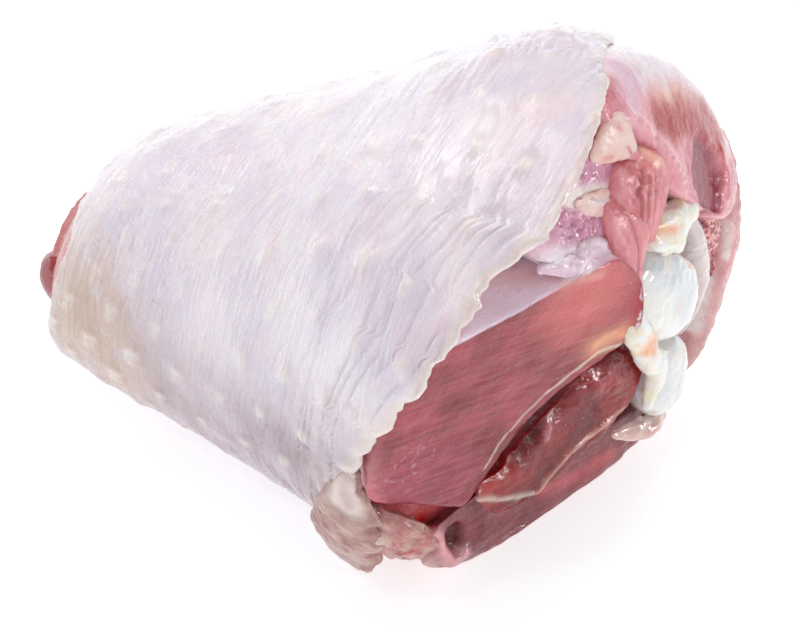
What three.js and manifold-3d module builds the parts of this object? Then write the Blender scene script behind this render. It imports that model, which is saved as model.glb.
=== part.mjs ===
// A raw turkey leg with its skin on, cut through the knee joint, lying on its side.
// Millimetres, +Z up. +X runs along the leg from the narrow ankle end to the wide knee end, and the
// leg rests on the plane z = 0. Every piece is a closed body carried along a bent line, or a closed
// ring, whose sections are worked out from the sizes below.
import * as THREE from "three";
import { mergeVertices } from "three/addons/utils/BufferGeometryUtils.js";
import Module from "manifold-3d";

const wasm = await Module();
wasm.setup();

// The leg's outside. Each size is base + slope * x, less a shoulder that fades from the ankle end and
// an ease that grows with the square of the distance past KNEE_EASE_START.
const CROWN_HEIGHT = { base: 41.5, slope: 0.55, shoulder: 8, fade: 3.6, ease: 0.004 };
const HALF_HEIGHT = { base: 22.2, slope: 0.293, shoulder: 4, fade: 3.6, ease: 0.004 };
const HALF_WIDTH = { base: 24.4, slope: 0.309, shoulder: 5.4, fade: 4.5, ease: 0.004 };
const BULGE = { height: 4.6, at: 76, width: 21, share: 0.5 }; // the calf's swelling along the top
const SIDE_BOW = 3.3; // how far the middle of the leg bows towards +Y
const BOW_LENGTH = 105;
const KNEE_EASE_START = 85;
const FLOOR_SOFTNESS = 2; // how gradually the soft underside spreads on the table
const FLOOR_FLAT = 0.4;

// The skin.
const SKIN_THICKNESS = 2.2;
const ANKLE_RIM = { least: 0.8, reach: 6.6, at: 145, power: 5 }; // the skin starts later on top
// How far the skin reaches towards the knee, every 15 degrees round the leg from the +Y side.
const KNEE_RIM = [
  87, 87, 87, 88, 92, 98.5, 106.5, 110.5, 111.5, 106, 102.5, 94,
  88.5, 84, 81.5, 80.5, 81, 83, 85, 86, 86, 86, 87, 87,
];
const KNEE_RIM_TIP = { at: 122, width: 3, reach: 2.6 }; // a corner of skin that hangs out

// From the modelling frame, whose x starts at the ankle end, to the part's frame, whose origin is the
// middle of the underside.
const FRAME_SHIFT = { x: -54.96, y: -1.9 };

// What is left free between neighbours, so that each piece is a solid of its own.
const GAP = 0.3;
const SWELL_LENGTH = 7; // past the skin's rim the flesh swells out over this length
const TRIM_EASE = 0.8;

// The knee end bulges like a dome with its top at DOME, and falls off more at its upper back corner.
const DOME = { x: 115, y: 12, z: 42, fall: 0.003 };
const DOME_CORNER = { from: 78, fall: 0.006 };

const COLOURS = {
  skin: [0xe3d6d8, 0.42],
  meat: [0xb4626c, 0.35],
  paleMeat: [0xc98a92, 0.35],
  fat: [0xe6cdb8, 0.5],
  fascia: [0xddc5c2, 0.4],
  cartilage: [0xeeeeec, 0.25],
  bone: [0xe2cdbd, 0.5],
  marrow: [0xb5454c, 0.45],
  ligament: [0xe8c9a4, 0.4],
};

const radians = THREE.MathUtils.degToRad;
const smoothstep = THREE.MathUtils.smoothstep;

function taper(size, x) {
  const eased = Math.max(x - KNEE_EASE_START, 0);
  return size.base + size.slope * x - size.shoulder * Math.exp(-Math.max(x, 0) / size.fade)
    - size.ease * eased * eased;
}

const bulge = (x) => BULGE.height * Math.exp(-(((x - BULGE.at) / BULGE.width) ** 2));
const crown = (x) => taper(CROWN_HEIGHT, x) + bulge(x);
const halfHeight = (x) => taper(HALF_HEIGHT, x) + BULGE.share * bulge(x);
const halfWidth = (x) => taper(HALF_WIDTH, x);
const middleY = (x) => SIDE_BOW * Math.sin((Math.PI * x) / BOW_LENGTH);
const middleZ = (x) => crown(x) - halfHeight(x);

// The soft underside spreads on the table: heights near zero and below it come out flat.
function pressOnTable(z, lift = 0) {
  const free = z - lift;
  const soft = 0.5 * (free + Math.sqrt(free * free + FLOOR_SOFTNESS * FLOOR_SOFTNESS));
  return lift + Math.max(0, soft - FLOOR_FLAT);
}

// A point of the leg's outside at x and an angle round the leg (0 towards +Y, 90 up), sunk by depth.
function outside(x, angle, depth = 0) {
  const y = middleY(x) + (halfWidth(x) - depth) * Math.cos(angle);
  const z = middleZ(x) + (halfHeight(x) - depth) * Math.sin(angle);
  return new THREE.Vector3(x, y, pressOnTable(z, depth));
}

// Where the skin ends at the knee, by angle round the leg.
function kneeRim(angle) {
  const turn = THREE.MathUtils.euclideanModulo(THREE.MathUtils.radToDeg(angle), 360);
  const reach = through([...KNEE_RIM, KNEE_RIM[0]], turn / 360);
  const tip = Math.exp(-(((turn - KNEE_RIM_TIP.at) / KNEE_RIM_TIP.width) ** 2));
  const ragged = 0.5 * Math.sin(7 * angle + 0.6) + 0.35 * Math.sin(13 * angle + 2);
  return reach + KNEE_RIM_TIP.reach * tip + ragged;
}

function ankleRim(angle) {
  const lobe = (1 + Math.cos(angle - radians(ANKLE_RIM.at))) / 2;
  const ragged = 0.5 * Math.sin(3 * angle + 1) + 0.3 * Math.sin(8 * angle);
  return ANKLE_RIM.least + ANKLE_RIM.reach * lobe ** ANKLE_RIM.power + ragged;
}

// Broad unevenness of flesh, between about -1 and 1.
function unevenness(p, scale) {
  const x = p.x / scale;
  const y = p.y / scale;
  const z = p.z / scale;
  return 0.5 * Math.sin(x + 1.7 * Math.sin(0.8 * y + 1)) + 0.3 * Math.sin(1.6 * y - z + 2)
    + 0.2 * Math.sin(1.9 * z + 1.3 * x);
}

// The value, or the point, at a share s along several that are evenly spaced, on a smooth curve.
function through(values, s) {
  const last = values.length - 1;
  const place = Math.min(Math.max(s, 0), 1) * last;
  const i = Math.min(Math.floor(place), last - 1);
  const t = place - i;
  const at = (k) => values[Math.min(Math.max(k, 0), last)];
  const blend = [
    -0.5 * t + t * t - 0.5 * t ** 3,
    1 - 2.5 * t * t + 1.5 * t ** 3,
    0.5 * t + 2 * t * t - 1.5 * t ** 3,
    -0.5 * t * t + 0.5 * t ** 3,
  ];
  const around = [at(i - 1), at(i), at(i + 1), at(i + 2)];
  if (typeof values[0] === "number") return around.reduce((sum, v, k) => sum + blend[k] * v, 0);
  return [0, 1, 2].map((axis) => around.reduce((sum, v, k) => sum + blend[k] * v[axis], 0));
}

// Keeps a point under the skin, depth below the leg's outside. Past the skin's rim it may swell out.
function tuckUnderSkin(p, depth, swollenDepth) {
  const angle = Math.atan2((p.z - middleZ(p.x)) / halfHeight(p.x), (p.y - middleY(p.x)) / halfWidth(p.x));
  const rim = kneeRim(angle);
  const covered = 1 - smoothstep(p.x, rim + 1, rim + SWELL_LENGTH);
  const sunk = swollenDepth + (depth - swollenDepth) * covered;
  const y = p.y - middleY(p.x);
  const z = p.z - middleZ(p.x);
  const reach = Math.hypot(y / (halfWidth(p.x) - sunk), z / (halfHeight(p.x) - sunk));
  const soft = reach > 0.9 ? 0.9 + 0.1 * Math.tanh((reach - 0.9) / 0.1) : reach;
  const share = reach > 0 ? soft / reach : 1;
  p.y = middleY(p.x) + y * share;
  p.z = pressOnTable(middleZ(p.x) + z * share, sunk);
}

const domeAt = (y, z) => DOME.x - DOME.fall * ((y - DOME.y) ** 2 + (z - DOME.z) ** 2)
  - DOME_CORNER.fall * Math.max(y + z - DOME_CORNER.from, 0) ** 2;

// How far d is past a limit, easing in over a length, so that a trimmed end keeps a round edge.
const softPast = (d, ease) => (d > 8 * ease ? d : ease * Math.log1p(Math.exp(d / ease)));

// A three.js geometry with its seams joined, ready to be bent into shape.
function closed(geometry) {
  geometry.deleteAttribute("normal");
  geometry.deleteAttribute("uv");
  return mergeVertices(geometry, 1e-4);
}

// One piece of flesh, fat or bone: round sections carried along a bent line from first to last.
//   line    points that the middle of the piece passes through
//   wide    half widths of the section along the direction side
//   deep    half widths across it
//   side    the direction that wide is measured in
//   blunt   2 gives round ends, more gives fuller ones
//   square  2 gives oval sections, more gives boxier ones
//   upper   half its depth on the far side, where that is another than deep, and skew, how much this
//           grows across it
//   flare   how the depth of the near side grows across the piece: {lean, spread}
//   cut     a plane that the piece is sliced by, {at, facing, ease}
//   trims   planes that flatten the piece square to themselves, {at, facing}
//   dome    how far the piece may stand above the knee end's dome
//   cover   how deep under the leg's outside it stays, and swollen, how deep past the skin's rim
//   bumps   height of its unevenness, and rough, the size of the lumps
function pieceGeometry(piece) {
  const { line, wide, deep, side, blunt = 2.4, square = 2.2, cut, dome, cover } = piece;
  const { swollen = 0.4, bumps = 0.6, rough = 9, around = 20, along = 14 } = piece;
  const { upper, skew = 0, flare = { lean: 0, spread: 0 }, trims = [] } = piece;
  const geometry = closed(new THREE.SphereGeometry(1, around, along));
  const vertices = geometry.attributes.position;
  const across = new THREE.Vector3();
  const ahead = new THREE.Vector3();
  const sideways = new THREE.Vector3();
  const p = new THREE.Vector3();
  for (let i = 0; i < vertices.count; i += 1) {
    const up = THREE.MathUtils.clamp(vertices.getY(i), -1, 1);
    const polar = Math.acos(up);
    const turn = Math.atan2(vertices.getZ(i), vertices.getX(i));
    const s = 0.5 - 0.5 * Math.sign(up) * Math.abs(up) ** (2 / blunt);
    const swell = Math.sin(polar) ** (2 / blunt);
    const c = Math.cos(turn);
    const d = Math.sin(turn);
    const box = (Math.abs(c) ** square + Math.abs(d) ** square) ** (-1 / square);
    const middle = through(line, s);
    const before = through(line, Math.max(s - 0.02, 0));
    const after = through(line, Math.min(s + 0.02, 1));
    ahead.set(after[0] - before[0], after[1] - before[1], after[2] - before[2]).normalize();
    sideways.set(...side).addScaledVector(ahead, -ahead.dot(new THREE.Vector3(...side))).normalize();
    across.crossVectors(ahead, sideways);
    const lump = bumps * unevenness(new THREE.Vector3(...middle).addScaledVector(sideways, 9 * c)
      .addScaledVector(across, 9 * d), rough);
    const halfDepth = upper && d > 0
      ? through(upper, s) * (1 + skew * c)
      : through(deep, s) * (1 + flare.lean * c + flare.spread * c ** 2);
    p.set(...middle)
      .addScaledVector(sideways, swell * box * c * (through(wide, s) + lump))
      .addScaledVector(across, swell * box * d * (halfDepth + lump));
    if (cut) {
      const facing = new THREE.Vector3(...cut.facing).normalize();
      const past = facing.dot(p) - facing.dot(new THREE.Vector3(...cut.at));
      p.addScaledVector(ahead, -softPast(past, cut.ease ?? 0.8) / Math.max(ahead.dot(facing), 0.3));
    }
    for (const trim of trims) {
      const facing = new THREE.Vector3(...trim.facing).normalize();
      const past = facing.dot(p) - facing.dot(new THREE.Vector3(...trim.at));
      p.addScaledVector(facing, -softPast(past, TRIM_EASE));
    }
    if (dome !== undefined) p.x -= softPast(p.x - domeAt(p.y, p.z) - dome, 1.5);
    if (cover !== undefined) tuckUnderSkin(p, cover, swollen);
    p.z = Math.max(p.z, 0.1);
    vertices.setXYZ(i, p.x, p.y, p.z);
  }
  return geometry;
}

// A closed ring: the skin's outer face, its knee rim, its inner face and its ankle rim. The lathe
// ring's height is the share of the skin's length, and its radius falls with the depth in the skin.
function skinGeometry({ around = 40, along = 13, inner = 7 } = {}) {
  const ringRadius = 10;
  const profile = [];
  for (let i = 0; i <= along; i += 1) profile.push(new THREE.Vector2(ringRadius, i / along));
  profile.push(new THREE.Vector2(ringRadius - 0.5, 1.006));
  for (let i = inner; i >= 0; i -= 1) profile.push(new THREE.Vector2(ringRadius - 1, i / inner));
  profile.push(new THREE.Vector2(ringRadius - 0.5, -0.006));
  profile.push(new THREE.Vector2(ringRadius, 0));
  const geometry = closed(new THREE.LatheGeometry(profile, around));
  const vertices = geometry.attributes.position;
  for (let i = 0; i < vertices.count; i += 1) {
    const angle = Math.atan2(vertices.getX(i), vertices.getZ(i));
    const depth = ringRadius - Math.hypot(vertices.getX(i), vertices.getZ(i));
    const x = THREE.MathUtils.lerp(ankleRim(angle), kneeRim(angle), vertices.getY(i));
    const p = outside(x, angle, depth * SKIN_THICKNESS);
    vertices.setXYZ(i, p.x, p.y, p.z);
  }
  return geometry;
}

// The same closed geometry with its faces moved out, for cutting its neighbours clear of it.
function grown(geometry, distance) {
  geometry.computeVertexNormals();
  const { position, normal } = geometry.attributes;
  for (let i = 0; i < position.count; i += 1) {
    position.setXYZ(
      i,
      position.getX(i) + distance * normal.getX(i),
      position.getY(i) + distance * normal.getY(i),
      position.getZ(i) + distance * normal.getZ(i),
    );
  }
  return geometry;
}

// A closed geometry as a solid of the boolean library, and back.
function toSolid(geometry) {
  return new wasm.Manifold(new wasm.Mesh({
    numProp: 3,
    vertProperties: geometry.attributes.position.array,
    triVerts: new Uint32Array(geometry.index.array),
  }));
}

function toGeometry(solid) {
  const mesh = solid.getMesh();
  const geometry = new THREE.BufferGeometry();
  geometry.setAttribute("position", new THREE.BufferAttribute(mesh.vertProperties, 3));
  geometry.setIndex(new THREE.BufferAttribute(mesh.triVerts, 1));
  geometry.computeVertexNormals();
  return geometry;
}

const largest = (solid) => solid.decompose().sort((a, b) => b.volume() - a.volume())[0];

// The pieces at the two ends and inside the skin. An earlier piece keeps its shape, and a later one
// is cut clear of it.
const UNDER = SKIN_THICKNESS + GAP;
const PIECES = {
  tibia: {
    colour: "bone", bumps: 0.2, blunt: 4, around: 14, along: 11,
    line: [[-3.2, 3, 17], [24, 4, 20], [52, 8, 24], [80, 14, 30], [108.5, 18, 34]],
    wide: [7, 6, 6, 9, 22], deep: [6.5, 5.5, 5.5, 7, 11], side: [0, -0.22, 0.97],
  },
  cartilage_upper: {
    colour: "cartilage", bumps: 0.2, around: 14, along: 9, blunt: 2.6,
    line: [[105, 14, 45], [110, 14, 45.5], [115, 14, 46]],
    wide: [12, 14, 13.5], deep: [7, 8.3, 8], side: [0, -0.73, 0.69],
  },
  cartilage_lower: {
    colour: "cartilage", bumps: 0.2, around: 12, along: 9, blunt: 2.6,
    line: [[103, 20, 20], [108, 21.5, 20], [112.5, 22, 20]],
    wide: [8.5, 9.5, 9], deep: [6.5, 7.5, 7], side: [0, -0.38, 0.93],
  },
  kneecap: {
    colour: "marrow", bumps: 0.3, around: 10, along: 10,
    line: [[105, 37, 47], [105, 40.5, 40], [104, 42.5, 28], [103, 41, 12]],
    wide: [3.5, 5, 2.2, 1.4], deep: [4, 4.5, 4, 3], side: [0.1, 1, 0.3],
  },
  knee_rim: {
    colour: "cartilage", bumps: 0.2, around: 10, along: 11,
    line: [[106, 26, 57], [106.5, 31, 47], [106, 36, 32], [104.5, 34.5, 18]],
    wide: [1.8, 2.8, 2.6, 1.8], deep: [3.5, 4.5, 4.5, 3.5], side: [0.1, 1, 0.3],
  },
  ligament_top: {
    colour: "ligament", bumps: 0.5, rough: 4, around: 10, along: 8,
    line: [[109, 8, 64.5], [111, 13, 61], [111, 19, 57.5], [108.5, 27, 56.5]],
    wide: [3, 4.4, 5, 3], deep: [2.6, 3, 3, 2.6], side: [0, 0.5, 1],
  },
  ligament_side: {
    colour: "ligament", bumps: 0.4, rough: 4, around: 10, along: 10,
    line: [[111, 2.4, 53.5], [113, 3.8, 45], [112.6, 8.6, 36.5], [112, 13.5, 28], [110.5, 14, 18]],
    wide: [1.6, 3, 2.8, 2.3, 1.8], deep: [2, 2.2, 2, 2, 1.8], side: [0, 1, 0.2],
  },
  fat_fold: {
    colour: "fat", bumps: 0.6, rough: 3.4, around: 10, along: 14,
    line: [[87, -47.8, 41], [85, -46.4, 32], [82.5, -43.2, 22], [80.5, -38.5, 11.5], [81, -34.5, 2.5]],
    wide: [3, 5, 6.5, 6, 4], deep: [1.4, 1.8, 2.2, 2.2, 1.6], side: [1, 0, 0],
  },
  calf_muscle: {
    colour: "meat", bumps: 0.8, around: 20, along: 8, square: 3.2, blunt: 5, cover: UNDER,
    line: [[84, -22.7, 45.1], [94, -23.9, 47.4], [105, -24.8, 49.3], [122, -25.7, 51.6]],
    wide: [24.5, 27, 28.5, 28.5], deep: [12, 13.3, 14.2, 14.2], side: [0, 0.78, 0.62],
    upper: [30, 31, 21.5, 12], skew: -0.74, flare: { lean: 0.12, spread: 1.5 },
    trims: [{ at: [0, -38, 28.2], facing: [0, -0.585, -0.81] }, { at: [0, 1.5, 50], facing: [0, 1, 0] }],
    cut: { at: [107, -12, 46], facing: [0.92, -0.37, -0.13], ease: 0.5 },
  },
  inner_muscle: {
    colour: "meat", bumps: 1.2, around: 16, along: 8, square: 2.8, blunt: 3, cover: UNDER,
    line: [[88, -7.5, 24], [96, -6.5, 25], [106, -5, 26], [118, -4, 26.5]],
    wide: [14, 18, 19.5, 19.5], deep: [7, 9, 10, 10], side: [0, 0.96, 0.29],
    cut: { at: [107, 3, 28], facing: [0.95, -0.3, 0.02], ease: 2 },
  },
  tendon_flap: {
    colour: "cartilage", bumps: 0.3, rough: 3, around: 10, along: 8,
    line: [[106.5, 8, 14.5], [108.5, 13, 12.5], [109.5, 18, 11], [109, 23, 9]],
    wide: [1.2, 2.6, 2.4, 1], deep: [1, 1.6, 1.6, 1], side: [0, 0.3, 1],
  },
  strap_muscle: {
    colour: "meat", bumps: 0.5, rough: 5, around: 12, along: 9,
    line: [[103.5, 8, 77], [107.5, 7, 76.5], [110, 8, 71.5], [110.5, 9.5, 61]],
    wide: [4.5, 6.5, 6.8, 4], deep: [3.2, 3.8, 3.8, 3], side: [0, 1, 0.1],
  },
  fat_wedge: {
    colour: "fat", bumps: 0.4, rough: 3.4, around: 12, along: 8, square: 2.2, blunt: 3.4,
    line: [[105.6, 6.2, 89], [106.3, 4.4, 86.4], [106.7, 2.8, 83.4], [106.8, 2, 81.6]],
    wide: [2, 4.2, 5.8, 5.8], deep: [1, 1.3, 1.4, 1.1], side: [0.31, 1, -0.6],
  },
  fat_patch: {
    colour: "fat", bumps: 0.3, rough: 3, around: 10, along: 8,
    line: [[102.5, -9.5, 78.6], [106.5, -3.5, 76.6], [109.4, 1.5, 74.4]],
    wide: [2.2, 2.5, 2.2], deep: [2.4, 2.6, 2.4], side: [0.3, 0.3, 1],
    cut: { at: [108.2, -6, 74], facing: [0.9, -0.1, 0.3], ease: 0.3 },
  },
  middle_muscle: {
    colour: "meat", bumps: 0.5, rough: 5, around: 10, along: 9,
    line: [[104, 1, 77], [108.6, 1.2, 72.5], [110.8, 1.6, 65], [110.8, 1.8, 53]],
    wide: [3.8, 4.8, 5, 3], deep: [2.8, 3, 3.2, 3], side: [0, 1, -0.1],
  },
  membrane: {
    colour: "fascia", bumps: 0.4, rough: 4, around: 10, along: 10,
    line: [[105, -18.5, 71.8], [107.2, -13.5, 70.6], [109, -8.5, 69], [110.4, -3.5, 67]],
    wide: [1, 2.4, 3.6, 3.4], deep: [0.8, 1.2, 1.3, 1.1], side: [-0.3, 0, 1],
  },
  side_muscle: {
    colour: "paleMeat", bumps: 0.6, around: 14, along: 8, square: 2.4, blunt: 3, cover: UNDER,
    line: [[90, -4, 70], [97, -5.5, 72.5], [105, -7, 74], [113, -7, 75]],
    wide: [8, 13, 14, 13], deep: [5, 7.5, 8.5, 8.5], side: [0, 0.8, -0.6],
    upper: [7, 11, 14.5, 14.5],
    cut: { at: [108.5, -6, 74], facing: [0.9, -0.1, 0.3], ease: 2.5 },
  },
  upper_muscle: {
    colour: "meat", bumps: 0.8, around: 18, along: 9, square: 3, blunt: 3.6, cover: 3, swollen: 3.6,
    dome: -0.5,
    line: [[84, 23, 64], [94, 26, 68], [104, 28, 70.5], [118, 28, 71.5]],
    wide: [24, 31, 34, 34], deep: [9, 12, 12.5, 12], side: [0, 0.66, -0.75],
    upper: [15, 18, 18, 16],
  },
  back_muscle: {
    colour: "meat", bumps: 0.6, around: 14, along: 8, square: 2.4, blunt: 3, cover: UNDER, dome: -1,
    line: [[84, 42, 26], [94, 46, 27], [103, 49, 28], [114, 50, 28]],
    wide: [18, 25, 29, 29], deep: [4, 6, 7, 7], side: [0, 0.3, 1],
  },
  under_muscle: {
    colour: "paleMeat", bumps: 0.5, around: 18, along: 8, square: 3, blunt: 3, cover: UNDER,
    line: [[82, -1.5, 9], [90, -1.5, 9], [99, -1, 8.4], [112, 0, 8]],
    wide: [20, 28.5, 32, 32], deep: [6, 7, 8, 8], side: [0, 1, 0],
    cut: { at: [99.5, -5, 5], facing: [0.96, -0.27, 0.1], ease: 1.5 },
  },
  fascia_fold: {
    colour: "fascia", bumps: 0.6, rough: 3, around: 10, along: 10,
    line: [[87.5, -45, 30], [89.8, -41.2, 23], [89.6, -36, 15.5], [87.6, -31.5, 7]],
    wide: [3.5, 5.5, 5.8, 4.6], deep: [1.4, 2, 2.2, 1.8], side: [1, 0.4, 0.3],
  },
  small_end_lobe: {
    colour: "meat", bumps: 0.5, rough: 4, around: 12, along: 8, blunt: 2,
    line: [[12, -9, 21], [6, -10, 19], [0.5, -11, 16.5], [-3, -11.5, 13]],
    wide: [5, 8, 8, 6], deep: [4, 6, 6, 4], side: [0, 0.2, 1],
  },
  leg_meat: {
    colour: "meat", bumps: 0.5, around: 24, along: 11, square: 2.1, blunt: 5, cover: UNDER, dome: -10,
    line: [[-0.5, 1, 19.5], [25, 0, 26], [55, 2, 36], [82, 1, 43], [115, -2, 50]],
    wide: [24, 33, 41, 51, 58], deep: [19, 29, 37, 47, 54], side: [0, 1, 0],
    cut: { at: [99, -12, 46], facing: [0.92, -0.37, -0.1], ease: 1 },
  },
};

const leg = new THREE.Group();

function addNode(name, solid, colour) {
  const [hex, roughness] = COLOURS[colour];
  const material = new THREE.MeshStandardMaterial({ color: hex, roughness, metalness: 0 });
  const mesh = new THREE.Mesh(toGeometry(solid).translate(FRAME_SHIFT.x, FRAME_SHIFT.y, 0), material);
  mesh.name = name;
  leg.add(mesh);
}

const skin = skinGeometry();
addNode("skin", toSolid(skin), "skin");

const taken = [toSolid(grown(skin, GAP))];
for (const [name, piece] of Object.entries(PIECES)) {
  const geometry = pieceGeometry(piece);
  let solid = toSolid(geometry);
  for (const earlier of taken) solid = solid.subtract(earlier);
  addNode(name, largest(solid), piece.colour);
  taken.push(toSolid(grown(geometry, GAP)));
}

export default leg;
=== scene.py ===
"""Looks of a raw turkey leg with its skin on, cut through the knee and lying on its side.

Shapes are worked out in millimetres in the modelling frame of the solids, where x starts at the ankle
opening, and each is a grid of points that closes into one surface. FRAME_SHIFT takes them to the part.
"""

import math

import bpy
import numpy as np
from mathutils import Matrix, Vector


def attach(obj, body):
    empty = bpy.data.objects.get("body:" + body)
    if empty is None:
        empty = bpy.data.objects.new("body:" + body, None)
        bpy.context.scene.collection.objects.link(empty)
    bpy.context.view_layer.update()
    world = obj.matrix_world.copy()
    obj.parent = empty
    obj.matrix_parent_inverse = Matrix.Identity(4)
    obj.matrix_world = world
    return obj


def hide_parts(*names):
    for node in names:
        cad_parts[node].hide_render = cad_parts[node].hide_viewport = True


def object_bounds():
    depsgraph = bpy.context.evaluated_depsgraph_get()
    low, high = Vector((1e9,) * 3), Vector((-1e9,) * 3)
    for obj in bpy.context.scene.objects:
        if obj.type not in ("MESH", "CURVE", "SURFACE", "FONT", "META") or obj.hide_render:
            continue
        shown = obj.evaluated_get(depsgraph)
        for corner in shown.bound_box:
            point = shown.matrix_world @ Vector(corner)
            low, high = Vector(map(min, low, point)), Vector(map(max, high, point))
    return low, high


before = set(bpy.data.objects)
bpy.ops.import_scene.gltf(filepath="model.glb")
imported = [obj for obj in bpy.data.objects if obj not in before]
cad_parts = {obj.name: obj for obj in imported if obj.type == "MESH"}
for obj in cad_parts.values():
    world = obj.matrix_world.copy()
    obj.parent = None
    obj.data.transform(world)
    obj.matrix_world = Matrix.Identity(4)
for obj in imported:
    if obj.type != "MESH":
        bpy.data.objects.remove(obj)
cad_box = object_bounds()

# Frame
METRES = 0.001
FRAME_SHIFT = np.array([-54.96, -1.9, 0.0])
BOX_MARGIN = 0.8
ONLY_BODY = "root"

# The least values that anything is divided by
TINY = 1e-9
TINY_LENGTH = 1e-12
TINY_COVER = 1e-6

# The leg's outside: base + slope * x, less a shoulder at the ankle and an ease past KNEE_EASE_START
CROWN_HEIGHT = {"base": 41.5, "slope": 0.55, "shoulder": 8, "fade": 3.6, "ease": 0.004}
HALF_HEIGHT = {"base": 22.2, "slope": 0.293, "shoulder": 4, "fade": 3.6, "ease": 0.004}
HALF_WIDTH = {"base": 24.4, "slope": 0.309, "shoulder": 5.4, "fade": 4.5, "ease": 0.004}
BULGE = {"height": 4.6, "at": 76, "width": 21, "share": 0.5}
SIDE_BOW = 3.3
BOW_LENGTH = 105
KNEE_EASE_START = 85
FLOOR_SOFTNESS = 2
FLOOR_FLAT = 0.4

# The skin
SKIN_THICKNESS = 2.2
ANKLE_RIM = {"least": 0.8, "reach": 6.6, "at": 145, "power": 5, "ragged": 0.25}
KNEE_RIM = [
    87, 87, 87, 88, 92, 98.5, 106.5, 110.5, 111.5, 106, 102.5, 94,
    88.5, 84, 81.5, 80.5, 81, 83, 85, 86, 86, 86, 87, 87,
]  # every 15 degrees from the +Y side
KNEE_RIM_TIP = {"at": 122, "width": 3, "reach": 2.6}
ANKLE_WAVES = [(0.5, 3, 1), (0.3, 8, 0)]  # height, count round the leg, phase
KNEE_WAVES = [(0.5, 7, 0.6), (0.35, 13, 2)]
RAGS = [(0.5, 8, 41), (0.6, 27, 42), (0.5, 61, 43)]  # height, fineness, seed
TORN = {"from": 118, "to": 215, "fade": 8, "depth": 1.1, "elsewhere": 0.3}
SKIN_ROUND = 290
SKIN_ROWS = 318
LIP_ROWS = 5
LIP_SWELL = 0.4
LINING_ROWS = 12
RIM_THINNING = 1.1
RIM_FADE = 3.0
DROOP = {"at": 76, "width": 20, "depth": 2.2, "fade": 7}
FREE_OF_TABLE = (0.1, 3)
# Painted shade on the skin: the spans below the leg's middle (under) and towards -Y of it (beside) over
# which its low side is darkened, in millimetres
UNDERSIDE_SHADE = {"under": (-18, 12), "beside": (4, 22)}
ALONG_END = 110  # the x at which the skin's attribute "along" is 1

# The skin's relief: its heights, and the sizes of its noise
DENTS = {"height": 0.6, "size": 17}
CREASES = {
    "height": 0.46, "steepness": 3.5, "pitch": 2.2, "length": 12, "bend": 1.6, "bend_size": 13,
    "fine": 0.7, "fine_length": 17, "sparse": 0.3, "crowding": (60, 12),
}
CREASE_LEAN = {"share": 0.5, "level": 90, "from": 20, "to": 90}
CREASE_PATCHES = {"size": [14, 20, 20], "between": (-0.6, 0.4), "least": 0.4}
FOLLICLES = {
    "height": 0.95, "pitch": 11.5, "rows": 26, "radius": 1.8, "stray": 0.3, "uneven": 0.35,
    "strength": 0.75, "spread": 0.5,
}
SLITS = {"depth": 0.6, "width": 0.8, "none_past": 78, "full_before": 40}
LIP = {"height": 0.3, "size": 3.5, "width": 1.1, "low_width": 6, "low_at": 212, "low_spread": 26}

# The knee end
GAP = 0.3
UNDER = SKIN_THICKNESS + GAP
SWELL_LENGTH = 7
TRIM_EASE = 0.8
EDGE_DEPTH = 3.0
LOWEST_FLESH = 0.1
TUCK = {"past_rim": 1, "from": 0.9, "room": 0.1}
WRINKLES = {"height": 0.34, "size": 1.6}
FIBRES = {"length": 9, "width": 1.1}
LUMP_SIZE = 3.5
WANDER = {"share": 0.25, "size": 3.2}
KNEE_END = (70, 84)  # the marks fade in between these x
DOME = {"x": 115, "y": 12, "z": 42, "fall": 0.003}
DOME_CORNER = {"from": 78, "fall": 0.006}
DOME_EASE = 1.5

# Grids of flesh: where rows change from the ends to the side, and how a line is followed and cut
FULL_SWELL = 0.97
LINE_STEP = 0.02
CUT_SAMPLES = 200
CUT_SPARE = 9
LEAST_LEAN = 0.3
BUMP_REACH = 9
FRINGE_FINENESS = 16

SEEDS = {
    "fibres": 3, "lumps": 11, "stray_x": 21, "stray_y": 22, "radius": 23, "strength": 24, "dents": 31,
    "bend": 32, "patches": 34, "creases": 35, "fine_creases": 36, "lip": 36, "wander": (51, 52),
    "fringe": 61, "wrinkles": 71,
}

# What a piece has where its own row doesn't say
USUAL = dict(
    bumps=0.6, rough=9, blunt=2.4, square=2.2, swollen=0.4, flare=[0, 0], trims=[], grain=[1, 0, 0.1],
    fibre=0.1, lumps=0.16,
)

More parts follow.
